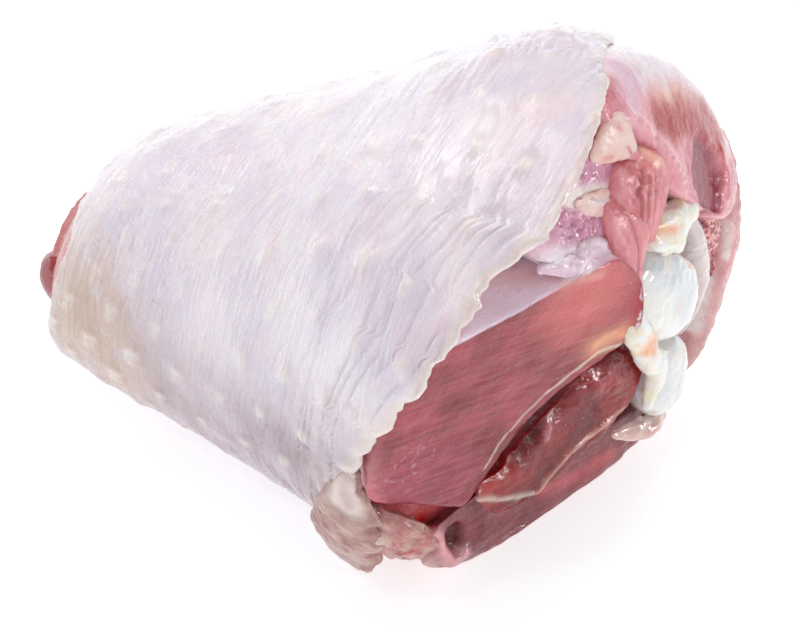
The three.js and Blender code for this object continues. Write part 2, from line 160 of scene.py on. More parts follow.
# Each piece has a middle line, its half width and half depth along that, and the side its width
# points to, with the points around it and the rows of its start, side and end. blunt and square shape
# its ends and its section; bumps and rough are the height and size of its unevenness. upper is the
# depth of its upper half, skewed from side to side, and flare opens the lower half. cut and trims are
# planes it is pressed back to, dome is how far from the knee end's dome it stops, and cover is how
# deep it lies under the skin. fringe tears one edge; grain, fibre and lumps are its fine relief.
PIECES = {
    "tibia": dict(
        finish="bone", bumps=0.2, blunt=4, around=60, rows=(20, 60, 20),
        line=[[-3.2, 3, 17], [24, 4, 20], [52, 8, 24], [80, 14, 30], [108.5, 18, 34]],
        wide=[7, 6, 6, 9, 22], deep=[6.5, 5.5, 5.5, 7, 11], side=[0, -0.22, 0.97],
    ),
    "cartilage_upper": dict(
        finish="cartilage", bumps=0.2, blunt=2.6, around=120, rows=(12, 30, 60),
        line=[[105, 14, 45], [110, 14, 45.5], [115, 14, 46]],
        wide=[12, 14, 13.5], deep=[7, 8.3, 8], side=[0, -0.73, 0.69],
    ),
    "cartilage_lower": dict(
        finish="cartilage", bumps=0.2, blunt=2.6, around=120, rows=(12, 30, 50),
        line=[[103, 20, 20], [108, 21.5, 20], [112.5, 22, 20]],
        wide=[8.5, 9.5, 9], deep=[6.5, 7.5, 7], side=[0, -0.38, 0.93],
    ),
    "kneecap": dict(
        finish="marrow", bumps=0.3, around=70, rows=(16, 70, 16),
        line=[[105, 37, 47], [105, 40.5, 40], [104, 42.5, 28], [103, 41, 12]],
        wide=[3.5, 5, 2.2, 1.4], deep=[4, 4.5, 4, 3], side=[0.1, 1, 0.3],
    ),
    "knee_rim": dict(
        finish="cartilage", bumps=0.2, around=70, rows=(16, 90, 16),
        line=[[106, 26, 57], [106.5, 31, 47], [106, 36, 32], [104.5, 34.5, 18]],
        wide=[1.8, 2.8, 2.6, 1.8], deep=[3.5, 4.5, 4.5, 3.5], side=[0.1, 1, 0.3],
    ),
    "ligament_top": dict(
        finish="ligament", bumps=0.7, rough=2.6, around=110, rows=(16, 80, 16), lumps=0.7,
        line=[[109, 8, 64.5], [111, 13, 61], [111, 19, 57.5], [108.5, 27, 56.5]],
        wide=[3, 4.4, 5, 3], deep=[2.6, 3, 3, 2.6], side=[0, 0.5, 1],
    ),
    "ligament_side": dict(
        finish="ligament", bumps=0.4, rough=4, around=90, rows=(16, 100, 16), lumps=0.5,
        line=[[111, 2.4, 53.5], [113, 3.8, 45], [112.6, 8.6, 36.5], [112, 13.5, 28], [110.5, 14, 18]],
        wide=[1.6, 3, 2.8, 2.3, 1.8], deep=[2, 2.2, 2, 2, 1.8], side=[0, 1, 0.2],
    ),
    "fat_fold": dict(
        finish="fold", rough=3.4, around=130, rows=(20, 150, 20), fringe=1.5, fibre=0.2,
        grain=[0, 0.3, 1],
        line=[[87, -47.8, 41], [85, -46.4, 32], [82.5, -43.2, 22], [80.5, -38.5, 11.5], [81, -34.5, 2.5]],
        wide=[3, 5, 6.5, 6, 4], deep=[1.4, 1.8, 2.2, 2.2, 1.6], side=[1, 0, 0],
    ),
    "calf_muscle": dict(
        finish="calf", bumps=0.7, around=280, rows=(4, 50, 110), square=3.2, blunt=5, cover=UNDER,
        line=[[84, -22.7, 45.1], [94, -23.9, 47.4], [105, -24.8, 49.3], [122, -25.7, 51.6]],
        wide=[24.5, 27, 28.5, 28.5], deep=[12, 13.3, 14.2, 14.2], side=[0, 0.78, 0.62],
        upper=[30, 31, 21.5, 12], skew=-0.74, flare=[0.12, 1.5],
        trims=[dict(at=[0, -38, 28.2], facing=[0, -0.585, -0.81]), dict(at=[0, 1.5, 50], facing=[0, 1, 0])],
        cut=dict(at=[107, -12, 46], facing=[0.92, -0.37, -0.13], ease=0.5),
        grain=[0.37, 1, -0.2], lumps=0.12,
    ),
    "inner_muscle": dict(
        finish="inner_meat", bumps=1.2, around=220, rows=(4, 40, 90), square=2.8, blunt=3, cover=UNDER,
        line=[[88, -7.5, 24], [96, -6.5, 25], [106, -5, 26], [118, -4, 26.5]],
        wide=[14, 18, 19.5, 19.5], deep=[7, 9, 10, 10], side=[0, 0.96, 0.29],
        cut=dict(at=[107, 3, 28], facing=[0.95, -0.3, 0.02], ease=2),
        grain=[0.3, 1, -0.1], lumps=0.25,
    ),
    "tendon_flap": dict(
        finish="cartilage", bumps=0.3, rough=3, around=100, rows=(12, 80, 12), lumps=0.7,
        line=[[106.5, 8, 14.5], [108.5, 13, 12.5], [109.5, 18, 11], [109, 23, 9]],
        wide=[1.2, 2.6, 2.4, 1], deep=[1, 1.6, 1.6, 1], side=[0, 0.3, 1],
    ),
    "strap_muscle": dict(
        finish="strap", bumps=0.5, rough=5, around=140, rows=(30, 90, 20), square=2.8, blunt=2.8,
        line=[[103.5, 8, 77], [107.5, 7, 76.5], [110, 8, 71.5], [110.5, 9.5, 61]],
        wide=[4.5, 6.5, 6.8, 4], deep=[3.2, 3.8, 3.8, 3], side=[0, 1, 0.1],
        grain=[0.1, 0.25, -1], fibre=0.2,
    ),
    "fat_wedge": dict(
        finish="fat", bumps=0.4, rough=3.4, around=110, rows=(14, 60, 14), blunt=3.4,
        line=[[105.6, 6.2, 89], [106.3, 4.4, 86.4], [106.7, 2.8, 83.4], [106.8, 2, 81.6]],
        wide=[2, 4.2, 5.8, 5.8], deep=[1, 1.3, 1.4, 1.1], side=[0.31, 1, -0.6],
    ),
    "fat_patch": dict(
        finish="fat", bumps=0.2, rough=3, around=110, rows=(14, 60, 14), square=2.6,
        line=[[102.5, -9.5, 78.6], [106.5, -3.5, 76.6], [109.4, 1.5, 74.4]],
        wide=[2.2, 2.5, 2.2], deep=[2.4, 2.6, 2.4], side=[0.3, 0.3, 1],
        cut=dict(at=[108.2, -6, 74], facing=[0.9, -0.1, 0.3], ease=0.3),
    ),
    "middle_muscle": dict(
        finish="strap", bumps=0.5, rough=5, around=130, rows=(16, 90, 20), square=3,
        line=[[104, 1, 77], [108.6, 1.2, 72.5], [110.8, 1.6, 65], [110.8, 1.8, 53]],
        wide=[3.8, 4.8, 5, 3], deep=[2.8, 3, 3.2, 3], side=[0, 1, -0.1],
        grain=[0.1, 0.25, -1], fibre=0.15,
    ),
    "membrane": dict(
        finish="film", bumps=0.3, rough=3.4, around=100, rows=(14, 90, 14), square=2.6,
        line=[[105, -18.5, 71.8], [107.2, -13.5, 70.6], [109, -8.5, 69], [110.4, -3.5, 67]],
        wide=[1, 2.4, 3.6, 3.4], deep=[0.8, 1.2, 1.3, 1.1], side=[-0.3, 0, 1],
    ),
    "side_muscle": dict(
        finish="purple_meat", around=170, rows=(4, 50, 60), square=2.4, blunt=3, cover=UNDER,
        line=[[90, -4, 70], [97, -5.5, 72.5], [105, -7, 74], [113, -7, 75]],
        wide=[8, 13, 14, 13], deep=[5, 7.5, 8.5, 8.5], side=[0, 0.8, -0.6],
        upper=[7, 11, 14.5, 14.5], skew=0,
        cut=dict(at=[108.5, -6, 74], facing=[0.9, -0.1, 0.3], ease=2.5),
        grain=[0.2, 1, 0.1], lumps=0.3,
    ),
    "upper_muscle": dict(
        finish="upper_meat", bumps=0.8, around=260, rows=(6, 60, 110), square=3, blunt=3.6,
        cover=3, swollen=3.6, dome=-0.5,
        line=[[84, 23, 64], [94, 26, 68], [104, 28, 70.5], [118, 28, 71.5]],
        wide=[24, 31, 34, 34], deep=[9, 12, 12.5, 12], side=[0, 0.66, -0.75],
        upper=[15, 18, 18, 16], skew=0,
        grain=[0.2, -0.3, 1], fibre=0.04, lumps=0.12,
    ),
    "back_muscle": dict(
        finish="back_meat", bumps=0.9, around=200, rows=(6, 60, 70), square=2.1, blunt=3, cover=UNDER,
        dome=-1, grain=[1, 0, 0.2], fibre=0.2, lumps=0.3,
        line=[[84, 42, 26], [94, 46, 27], [103, 49, 28], [114, 50, 28]],
        wide=[18, 25, 29, 29], deep=[4, 6, 7, 7], side=[0, 0.3, 1],
    ),
    "under_muscle": dict(
        finish="under_meat", bumps=0.5, around=240, rows=(6, 50, 90), square=3, blunt=3, cover=UNDER,
        line=[[82, -1.5, 9], [90, -1.5, 9], [99, -1, 8.4], [112, 0, 8]],
        wide=[20, 28.5, 32, 32], deep=[6, 7, 8, 8], side=[0, 1, 0],
        cut=dict(at=[99.5, -5, 5], facing=[0.96, -0.27, 0.1], ease=1.5),
        grain=[0.3, 1, 0.1], lumps=0.2,
    ),
    "fascia_fold": dict(
        finish="fascia", bumps=0.8, rough=3, around=120, rows=(16, 90, 16), square=3,
        fringe=1.2, line=[[87.5, -45, 30], [89.8, -41.2, 23], [89.6, -36, 15.5], [87.6, -31.5, 7]],
        wide=[3.5, 5.5, 5.8, 4.6], deep=[1.4, 2, 2.2, 1.8], side=[1, 0.4, 0.3],
        grain=[0, 0.3, 1], fibre=0.45,
    ),
    "small_end_lobe": dict(
        finish="end_meat", bumps=0.5, rough=4, around=110, rows=(20, 50, 12), blunt=2,
        line=[[12, -9, 21], [6, -10, 19], [0.5, -11, 16.5], [-3, -11.5, 13]],
        wide=[5, 8, 8, 6], deep=[4, 6, 6, 4], side=[0, 0.2, 1],
    ),
    "leg_meat": dict(
        finish="leg_meat", bumps=0.5, around=260, rows=(40, 90, 110), square=2.1, blunt=5, cover=UNDER,
        dome=-10, swollen=5,
        line=[[-0.5, 1, 19.5], [25, 0, 26], [55, 2, 36], [82, 1, 43], [115, -2, 50]],
        wide=[24, 33, 41, 51, 58], deep=[19, 29, 37, 47, 54], side=[0, 1, 0],
        cut=dict(at=[99, -12, 46], facing=[0.92, -0.37, -0.1], ease=1),
    ),
}


# How the cut end is lit: the share of its colour that is seen, and the shine that veils it
CUT_LIGHT = 0.76
CUT_VEIL = 0.035
FLESH_RANGE = (0.004, 0.95)


def paint(red, green, blue):
    """A colour seen as 0 to 255 on a screen, as the light it stands for."""
    seen = np.array([red, green, blue]) / 255
    return tuple(np.where(seen <= 0.04045, seen / 12.92, ((seen + 0.055) / 1.055) ** 2.4).tolist())


def flesh_paint(red, green, blue):
    """The base colour of flesh on the cut end that looks so when it is lit: (seen - veil) / light."""
    base = (np.array(paint(red, green, blue)) - CUT_VEIL) / CUT_LIGHT
    return tuple(np.clip(base, *FLESH_RANGE).tolist())


# Tissues that show on the flesh, in the colours that they have on the lit cut end. Some marks lay them as
# painted shade in hollows or as painted light in shaded gaps, as noted at each.
TISSUES_LIGHT_AND_SHADE = {
    "fat": (236, 212, 208), "cream": (238, 216, 200), "film": (218, 206, 212), "lilac": (212, 172, 190),
    "sinew": (232, 214, 212), "grey": (200, 178, 174), "tan": (206, 168, 158),
    "purple": (194, 138, 160), "pink": (220, 160, 166), "peach": (228, 172, 156),
    "fresh": (194, 96, 100), "scarlet": (170, 44, 50), "brown": (142, 60, 74), "deep": (134, 52, 62),
    "crimson": (98, 14, 30), "blood": (186, 24, 40), "orange": (232, 160, 124),
}


def mark(tissue, reach, path, cover=0.8, height=0.0, steep=1.0, wet=0.0):
    """A streak or patch of a tissue on the knee end, or of painted shade or painted light where its comment
    says so: a path of (y, z) places in millimetres, and the tissue's fall with distance d across the leg,
    exp(-(d / reach)^(2 steep)). Its height is the ridge or groove along it, and wet makes it glossier and
    wrinkled."""
    return {
        "colour": flesh_paint(*TISSUES_LIGHT_AND_SHADE[tissue]), "reach": reach, "path": np.asarray(path, float),
        "cover": cover, "height": height, "steep": steep, "wet": wet,
    }


MARKS = {
    "upper_muscle": [
        mark("film", 4.2, [(14, 93), (32, 81), (43, 69), (51, 55)], 0.85),
        mark("peach", 1.8, [(21, 82), (31, 76), (40, 67), (46, 59)], 0.6),
        mark("scarlet", 3.5, [(18, 79.5), (26, 75), (33, 70.5), (40, 64.5), (43, 60)], 0.95, steep=1.5),
        mark("lilac", 3.2, [(15, 90), (12, 88), (9, 86.5)], 0.7),
        mark("deep", 0.9, [(7.5, 84), (9.5, 80.5), (13, 76.5)], 0.5, height=-0.8),
        mark(
            "pink", 1.7, [(8, 87.5), (11.5, 82.5), (15.5, 77), (18, 72), (20, 66)], 0.7,
            height=0.9, wet=0.6,
        ),
        # Partly its own darker flesh and partly painted shade: dark brown over the recessed pocket
        mark("brown", 5.6, [(30.6, 62.6), (32.4, 58.6), (33.4, 55.8)], 0.95, height=-1.5, steep=4),
        mark("fresh", 1.2, [(41, 58), (41, 54), (40, 50)], 0.5, height=0.7),
    ],
    "back_muscle": [
        mark("sinew", 0.5, [(41, 46), (43, 36), (42.6, 27), (39.5, 16)], 0.9, height=0.4),
        mark("sinew", 0.5, [(48, 50), (45, 45), (46.5, 38), (45, 31)], 0.8, height=0.3),
    ],
    "side_muscle": [
        # Partly painted light: a broad pale lilac film over the valley beside the calf, to lift its shade
        mark("film", 4.5, [(-24, 72), (-14, 71)], 0.9),
        mark("fat", 2.2, [(1, 88), (0, 85.5), (4, 84.5)], 0.9, steep=2),
        mark("purple", 1.8, [(-4, 83), (4, 79.5)], 0.95, steep=2, wet=0.6),
        mark("fat", 1.9, [(-9, 80.8), (-3, 78), (3, 75)], 0.9, steep=2),
        mark("purple", 3.0, [(-13, 78.5), (-7, 74.5)], 0.9, steep=2, wet=1.0),
        mark("purple", 0.7, [(-13, 75), (-9, 73)], 0.5),
    ],
    "fat_wedge": [
        mark("fresh", 0.7, [(3.5, 88), (4.4, 87)], 0.5),
        mark("fresh", 0.6, [(-0.5, 84), (1, 83.5)], 0.45),
    ],
    "membrane": [
        mark("film", 3.0, [(-16, 73), (-4, 69.5)], 0.4, wet=1.0),
        mark("purple", 0.9, [(-8, 69.5), (-3, 68)], 0.35),
    ],
    "fat_patch": [mark("film", 0.5, [(-5, 78), (-1, 76)], 0.8, height=0.2, wet=1.0)],
    "strap_muscle": [
        mark("pink", 1.0, [(3.5, 79.5), (0.8, 76), (-0.5, 72), (-1, 69)], 0.7, height=0.5, wet=0.3),
        mark("peach", 0.9, [(5, 81.5), (9, 80), (11, 77)], 0.8, height=0.6),
        mark("deep", 0.4, [(6.4, 78.3), (3.3, 76), (2.5, 71), (1.7, 68)], 0.45, height=-0.4),
        mark("deep", 0.4, [(6.8, 77.2), (4.2, 73.5), (3.8, 69)], 0.45, height=-0.4),
        mark("deep", 0.4, [(8, 76), (5.6, 71.5), (5.4, 67)], 0.35, height=-0.3),
    ],
    "middle_muscle": [
        mark("pink", 1.4, [(-3, 74), (-2, 67), (-1, 60)], 0.5, wet=0.2),
        mark("deep", 0.4, [(0.5, 72), (0.5, 64), (1, 57)], 0.35, height=-0.25),
    ],
    "ligament_top": [
        mark("orange", 1.1, [(11, 63), (14, 61.5)], 0.7, height=-0.15),
        mark("fresh", 0.9, [(8.3, 66), (9.5, 62.5)], 0.5),
    ],
    "cartilage_upper": [
        mark("orange", 0.8, [(21, 48.7), (22.5, 47.5)], 0.7, height=-0.4),
        mark("cream", 2.0, [(4, 51), (3, 46)], 0.6),
    ],
    "tendon_flap": [mark("tan", 3.0, [(8, 14), (23, 9)], 0.8)],
    "knee_rim": [mark("grey", 4.0, [(26, 57), (32, 44), (35, 28), (34, 18)], 0.6)],
    "ligament_side": [
        mark("orange", 2.0, [(5, 41.5), (9, 38.5)], 0.9, height=-0.3),
        mark("cream", 1.6, [(7, 36), (12, 27)], 0.5),
    ],
    "kneecap": [
        mark("deep", 0.6, [(41, 35), (42, 29), (42, 24)], 0.7, height=-0.4),
        mark("cream", 0.4, [(39.5, 46), (39.8, 44)], 0.9, height=0.3),
        mark("crimson", 0.5, [(36.8, 44.5), (37.2, 43.5)], 0.8, height=-0.5),
    ],
    "calf_muscle": [
        mark("film", 2.6, [(-34, 71), (-22, 73), (-10, 71)], 0.3, wet=0.9),
        mark("fresh", 1.4, [(-6, 64), (-3, 62)], 0.5),
        mark("peach", 0.8, [(-34, 67.5), (-25, 70), (-16, 68.5), (-8, 66)], 0.35),
        mark("orange", 2.6, [(-1, 48), (-6, 48)], 0.6),
        mark("cream", 0.35, [(0, 44.6), (-5, 45.6), (-9.3, 43.6), (-14.5, 41.6)], 0.5),
        mark("cream", 0.3, [(-14.5, 41.6), (-19, 38.2), (-23, 34), (-25, 29)], 0.4),
        mark("fresh", 2.4, [(-47, 30), (-51, 38), (-53, 46)], 0.7),
    ],
    "inner_muscle": [
        # Painted shade: dark crimson down the 3 mm groove under the calf's lower edge, where the calf's
        # shadow falls
        mark(
            "crimson", 4.0, [(2, 38), (-4, 35), (-10, 32), (-15, 30), (-20, 27.5)], 0.9,
            height=-3, steep=1.5,
        ),
        mark("blood", 3.0, [(-19, 25.5), (-23.5, 22.5)], 0.35),
        mark("pink", 0.7, [(-5.5, 33), (-8, 30), (-9.8, 26)], 0.45, height=0.5, wet=0.8),
        mark("fresh", 2.6, [(-1, 34), (6, 29.5)], 0.3, height=0.6, wet=0.7),
        mark("deep", 2.4, [(-5, 28), (1, 26)], 0.4, height=-0.6),
        mark("peach", 0.55, [(8, 21.6), (2.3, 20.5), (-4, 19.3), (-8, 16.9), (-12, 14)], 0.5, height=0.4),
        mark("cream", 0.6, [(-26, 22), (-21, 18.5), (-17, 16.4), (-13, 14.5)], 0.4, height=0.3),
    ],
    "under_muscle": [
        mark("fresh", 1.8, [(12, 5), (4, 5), (-4, 7)], 0.5),
        mark("deep", 2.6, [(-21, 9.5), (-14, 6)], 0.25),
        # Painted shade: dark crimson in the 2 mm hollow near the under muscle's -Y end
        mark("crimson", 1.7, [(-24.6, 10), (-24.4, 6.5)], 0.8, height=-2, steep=1.5),
        mark("pink", 1.1, [(-30, 15), (-28.4, 12), (-27.8, 8), (-26, 4.5), (-23, 4.5)], 0.8, height=0.9),
    ],
    "leg_meat": [
        # Partly painted light: fresh red flesh colour, laid bright to lift the shade in the gap under the
        # calf's lower corner
        mark("fresh", 3.5, [(-25, 15), (-35, 21), (-42, 29)], 0.9),
        mark("blood", 0.9, [(-29, 15.5), (-28.5, 14)], 0.95),
    ],
    "fascia_fold": [
        mark("fresh", 0.5, [(-41.5, 27), (-42, 21), (-40, 14)], 0.4, height=-0.3),
        mark("fresh", 0.5, [(-37.5, 24), (-38.5, 17), (-36, 10)], 0.4, height=-0.3),
        mark("cream", 0.7, [(-44, 22), (-40, 13), (-36, 8)], 0.6, height=0.3),
    ],
    "fat_fold": [
        mark("sinew", 0.5, [(-49.5, 46), (-48.5, 38), (-47.6, 31)], 0.5, height=0.4),
    ],
}


# Curves and noise

# A direction that no grain has, to take a cross product with
ODD_DIRECTION = [0.31, 0.17, 0.93]


def through(values, share):
    """A smooth curve through evenly spaced values or points, read at a share from 0 to 1: uniform
    Catmull-Rom with its end values repeated."""
    values = np.asarray(values, float)
    last = len(values) - 1
    place = np.clip(share, 0, 1) * last
    i = np.minimum(place.astype(int), last - 1)
    t = place - i
    blend = [
        -0.5 * t + t**2 - 0.5 * t**3,
        1 - 2.5 * t**2 + 1.5 * t**3,
        0.5 * t + 2 * t**2 - 1.5 * t**3,
        -0.5 * t**2 + 0.5 * t**3,
    ]
    total = 0
    for k, weight in enumerate(blend):
        value = values[np.clip(i + k - 1, 0, last)]
        total = total + (weight[..., None] * value if values.ndim == 2 else weight * value)
    return total


def smoothstep(x, low, high):
    """0 below low, 1 above high and 3t^2 - 2t^3 between."""
    t = np.clip((x - low) / (high - low), 0, 1)
    return t * t * (3 - 2 * t)


def bell(distance):
    """exp(-d^2): 1 at the middle, nearly 0 at a distance of 2."""
    return np.exp(-(distance**2))


def noise(p, seed=0):
    """Smooth random values from -1 to 1: a hashed number at each whole-number lattice point, blended
    over each cell with quintic weights. p has three coordinates in its last axis."""
    cell = np.floor(p).astype(np.int64)
    t = p - cell
    t = t**3 * (t * (6 * t - 15) + 10)
    total = 0
    for corner in np.ndindex(2, 2, 2):
        i, j, k = (cell[..., axis] + corner[axis] for axis in range(3))
        h = (i * 374761393 + j * 668265263 + k * 1274126177 + seed * 362437) & 0xFFFFFFFF
        h = ((h ^ (h >> 13)) * 1103515245) & 0xFFFFFFFF
        h = ((h ^ (h >> 15)) * 668265263) & 0xFFFFFFFF
        weight = np.prod([t[..., a] if corner[a] else 1 - t[..., a] for a in range(3)], axis=0)
        total = total + weight * (((h ^ (h >> 16)) & 0xFFFF) / 32767.5 - 1)
    return total


def fractal(p, octaves=3, seed=0):
    """Several layers of noise, each twice as fine and half as strong as the last."""
    return sum(noise(p * 2.0**k + 7.3 * k, seed + k) / 2.0**k for k in range(octaves))


def stretched(p, direction, length, width):
    """Coordinates for noise that is drawn out along a direction: p's share along it over length, and
    its two shares across it over width."""
    along = np.asarray(direction, float)
    along = along / np.linalg.norm(along)
    first = np.cross(along, ODD_DIRECTION)
    first = first / np.linalg.norm(first)
    second = np.cross(along, first)
    return np.stack([p @ along / length, p @ first / width, p @ second / width], -1)


# The leg's form


def taper(size, x):
    """base + slope x - shoulder exp(-x / fade) - ease (x - start)^2."""
    eased = np.maximum(x - KNEE_EASE_START, 0)
    shoulder = size["shoulder"] * np.exp(-np.maximum(x, 0) / size["fade"])
    return size["base"] + size["slope"] * x - shoulder - size["ease"] * eased**2


def bulge(x):
    """The calf's swelling: a bell along the leg."""
    return BULGE["height"] * bell((x - BULGE["at"]) / BULGE["width"])


def half_height(x):
    """Half the leg's height at x."""
    return taper(HALF_HEIGHT, x) + BULGE["share"] * bulge(x)


def half_width(x):
    """Half the leg's width at x."""
    return taper(HALF_WIDTH, x)


def middle_y(x):
    """Where the leg's middle is at x, bowed to the side by half a sine wave."""
    return SIDE_BOW * np.sin(np.pi * x / BOW_LENGTH)


def middle_z(x):
    """The height of the leg's middle at x: its crown less its half height."""
    return taper(CROWN_HEIGHT, x) + bulge(x) - half_height(x)


def press_on_table(z, lift=0.0):
    """Soft maximum of z and lift, so that the underside comes out flat."""
    free = z - lift
    soft = 0.5 * (free + np.sqrt(free**2 + FLOOR_SOFTNESS**2))
    return lift + np.maximum(0, soft - FLOOR_FLAT)


def outside(x, angle, depth):
    """The leg's outside at x and an angle round it, sunk by depth: an ellipse pressed on the table."""
    y = middle_y(x) + (half_width(x) - depth) * np.cos(angle)
    z = middle_z(x) + (half_height(x) - depth) * np.sin(angle)
    return np.stack([x, y, press_on_table(z, depth)], -1)


def waves(angle, sizes):
    """The sum of height * sin(count * angle + phase) over the sizes."""
    return sum(height * np.sin(count * angle + phase) for height, count, phase in sizes)


def knee_rim(angle):
    """Where the skin ends at the knee: a curve through KNEE_RIM, a corner, and a ragged wave."""
    turn = np.degrees(angle) % 360
    reach = through([*KNEE_RIM, KNEE_RIM[0]], turn / 360)
    tip = bell((turn - KNEE_RIM_TIP["at"]) / KNEE_RIM_TIP["width"])
    return reach + KNEE_RIM_TIP["reach"] * tip + waves(angle, KNEE_WAVES)


def ankle_rim(angle):
    """Where the skin starts at the ankle: further on where it has slipped back over the flesh."""
    lobe = (1 + np.cos(angle - math.radians(ANKLE_RIM["at"]))) / 2
    slipped = ANKLE_RIM["reach"] * lobe ** ANKLE_RIM["power"]
    return ANKLE_RIM["least"] + slipped + waves(angle, ANKLE_WAVES)


def unevenness(p, scale):
    """Broad lumps of flesh from nested sines, between about -1 and 1."""
    x, y, z = np.moveaxis(p / scale, -1, 0)
    return (
        0.5 * np.sin(x + 1.7 * np.sin(0.8 * y + 1)) + 0.3 * np.sin(1.6 * y - z + 2)
        + 0.2 * np.sin(1.9 * z + 1.3 * x)
    )


def round_angle(p):
    """The angle of a point round the leg, 0 towards +Y and a quarter turn up."""
    return np.arctan2(
        (p[..., 2] - middle_z(p[..., 0])) / half_height(p[..., 0]),
        (p[..., 1] - middle_y(p[..., 0])) / half_width(p[..., 0]),
    )


def tuck_under_skin(p, depth, swollen):
    """Keeps points at a depth under the leg's outside, or at the depth swollen past the skin's rim.
    The last part of the way out is eased: start + room tanh((reach - start) / room)."""
    x = p[..., 0]
    rim = knee_rim(round_angle(p))
    covered = 1 - smoothstep(x, rim + TUCK["past_rim"], rim + SWELL_LENGTH)
    sunk = swollen + (depth - swollen) * covered
    y = p[..., 1] - middle_y(x)
    z = p[..., 2] - middle_z(x)
    reach = np.hypot(y / (half_width(x) - sunk), z / (half_height(x) - sunk))
    start, room = TUCK["from"], TUCK["room"]
    soft = np.where(reach > start, start + room * np.tanh((reach - start) / room), reach)
    share = soft / np.maximum(reach, TINY)
    return np.stack([x, middle_y(x) + y * share, press_on_table(middle_z(x) + z * share, sunk)], -1)


def dome_at(p):
    """How far the knee end's dome reaches: a paraboloid that falls off more at its upper back."""
    y, z = p[..., 1], p[..., 2]
    corner = DOME_CORNER["fall"] * np.maximum(y + z - DOME_CORNER["from"], 0) ** 2
    return DOME["x"] - DOME["fall"] * ((y - DOME["y"]) ** 2 + (z - DOME["z"]) ** 2) - corner


def soft_past(d, ease):
    """How far d is past a limit: ease log(1 + exp(d / ease))."""
    return ease * np.logaddexp(0, d / ease)


# Surfaces on grids


def unit(v):
    """Each vector at a length of 1."""
    return v / np.maximum(np.linalg.norm(v, axis=-1, keepdims=True), TINY_LENGTH)


def normals_of(grid, wraps_rows=False):
    """Outward unit normals: the cross product of the differences round and along the grid."""
    turning = np.roll(grid, -1, 1) - np.roll(grid, 1, 1)
    if wraps_rows:
        going = np.roll(grid, -1, 0) - np.roll(grid, 1, 0)
    else:
        going = np.gradient(grid, axis=0)
    return unit(np.cross(turning, going))


def section_rows(blunt, rows, upto=1.0):
    """Shares along a piece and the swell of its section there, where swell^blunt + |2s - 1|^blunt = 1.
    Rows are even in swell over the two ends and even along the side between them, up to a share."""
    start, side, end = rows
    opening = np.linspace(0, FULL_SWELL, start + 1)[:-1]
    closing = np.linspace(FULL_SWELL, 0, end + 1)[1:]

    def share(w):
        return 0.5 - 0.5 * (1 - w**blunt) ** (1 / blunt)

    turning = share(FULL_SWELL)
    along = np.linspace(turning, min(1 - turning, upto), side)
    swell = (1 - np.abs(2 * along - 1) ** blunt) ** (1 / blunt)
    shares = np.concatenate([share(opening), along, 1 - share(closing)])
    return shares, np.concatenate([opening, swell, closing])


def run_to_cut(line, cut):
    """The share of a line that is kept: up to CUT_SPARE past the cut plane, or all of it."""
    samples = np.linspace(0, 1, CUT_SAMPLES)
    beyond = (through(line, samples) - cut["at"]) @ unit(np.asarray(cut["facing"], float))
    return samples[np.argmax(beyond > CUT_SPARE)] if beyond.max() > CUT_SPARE else 1.0


def axes_along(line, side, share):
    """Points on a line at shares of it, and the directions ahead, sideways and across there."""
    before = through(line, np.maximum(share - LINE_STEP, 0))
    ahead = unit(through(line, np.minimum(share + LINE_STEP, 1)) - before)
    sideways = unit(side - ahead * (ahead @ side)[:, None])
    across = np.cross(ahead, sideways)
    return (v[:, None, :] for v in (through(line, share), ahead, sideways, across))


def section_depth(piece, share, c, d, lump):
    """Half depths round each section, whose upper and lower halves may differ: the upper half is
    skewed by 1 + skew c, and the lower one flared by 1 + lean c + spread c^2."""
    deep = through(piece["deep"], share)[:, None, None] + lump
    if "upper" not in piece:
        return deep
    upper = through(piece["upper"], share)[:, None, None] * (1 + piece["skew"] * c) + lump
    lean, spread = piece["flare"]
    return np.where(d > 0, upper, deep * (1 + lean * c + spread * c**2))


def pressed_back(p, ahead, piece):
    """Points behind the piece's cut, trims and dome and under the skin, and how much each lies on a
    cut face."""
    on_cut = np.zeros(p.shape[:2])
    cut = piece.get("cut")
    if cut:
        facing = unit(np.asarray(cut["facing"], float))
        past = (p - cut["at"]) @ facing
        lean = np.maximum(ahead @ facing, LEAST_LEAN)
        p = p - ahead * (soft_past(past, cut["ease"]) / lean)[..., None]
        on_cut = smoothstep(past, -cut["ease"], 2 * cut["ease"])
    for trim in piece["trims"]:
        facing = np.array(trim["facing"])
        p = p - facing * soft_past((p - trim["at"]) @ facing, TRIM_EASE)[..., None]
    if "dome" in piece:
        beyond = p[..., 0] - dome_at(p) - piece["dome"]
        p[..., 0] -= soft_past(beyond, DOME_EASE)
        on_cut = np.maximum(on_cut, smoothstep(beyond, -DOME_EASE, 2 * DOME_EASE))
    if "cover" in piece:
        p = tuck_under_skin(p, piece["cover"], piece["swollen"])
    return p, on_cut


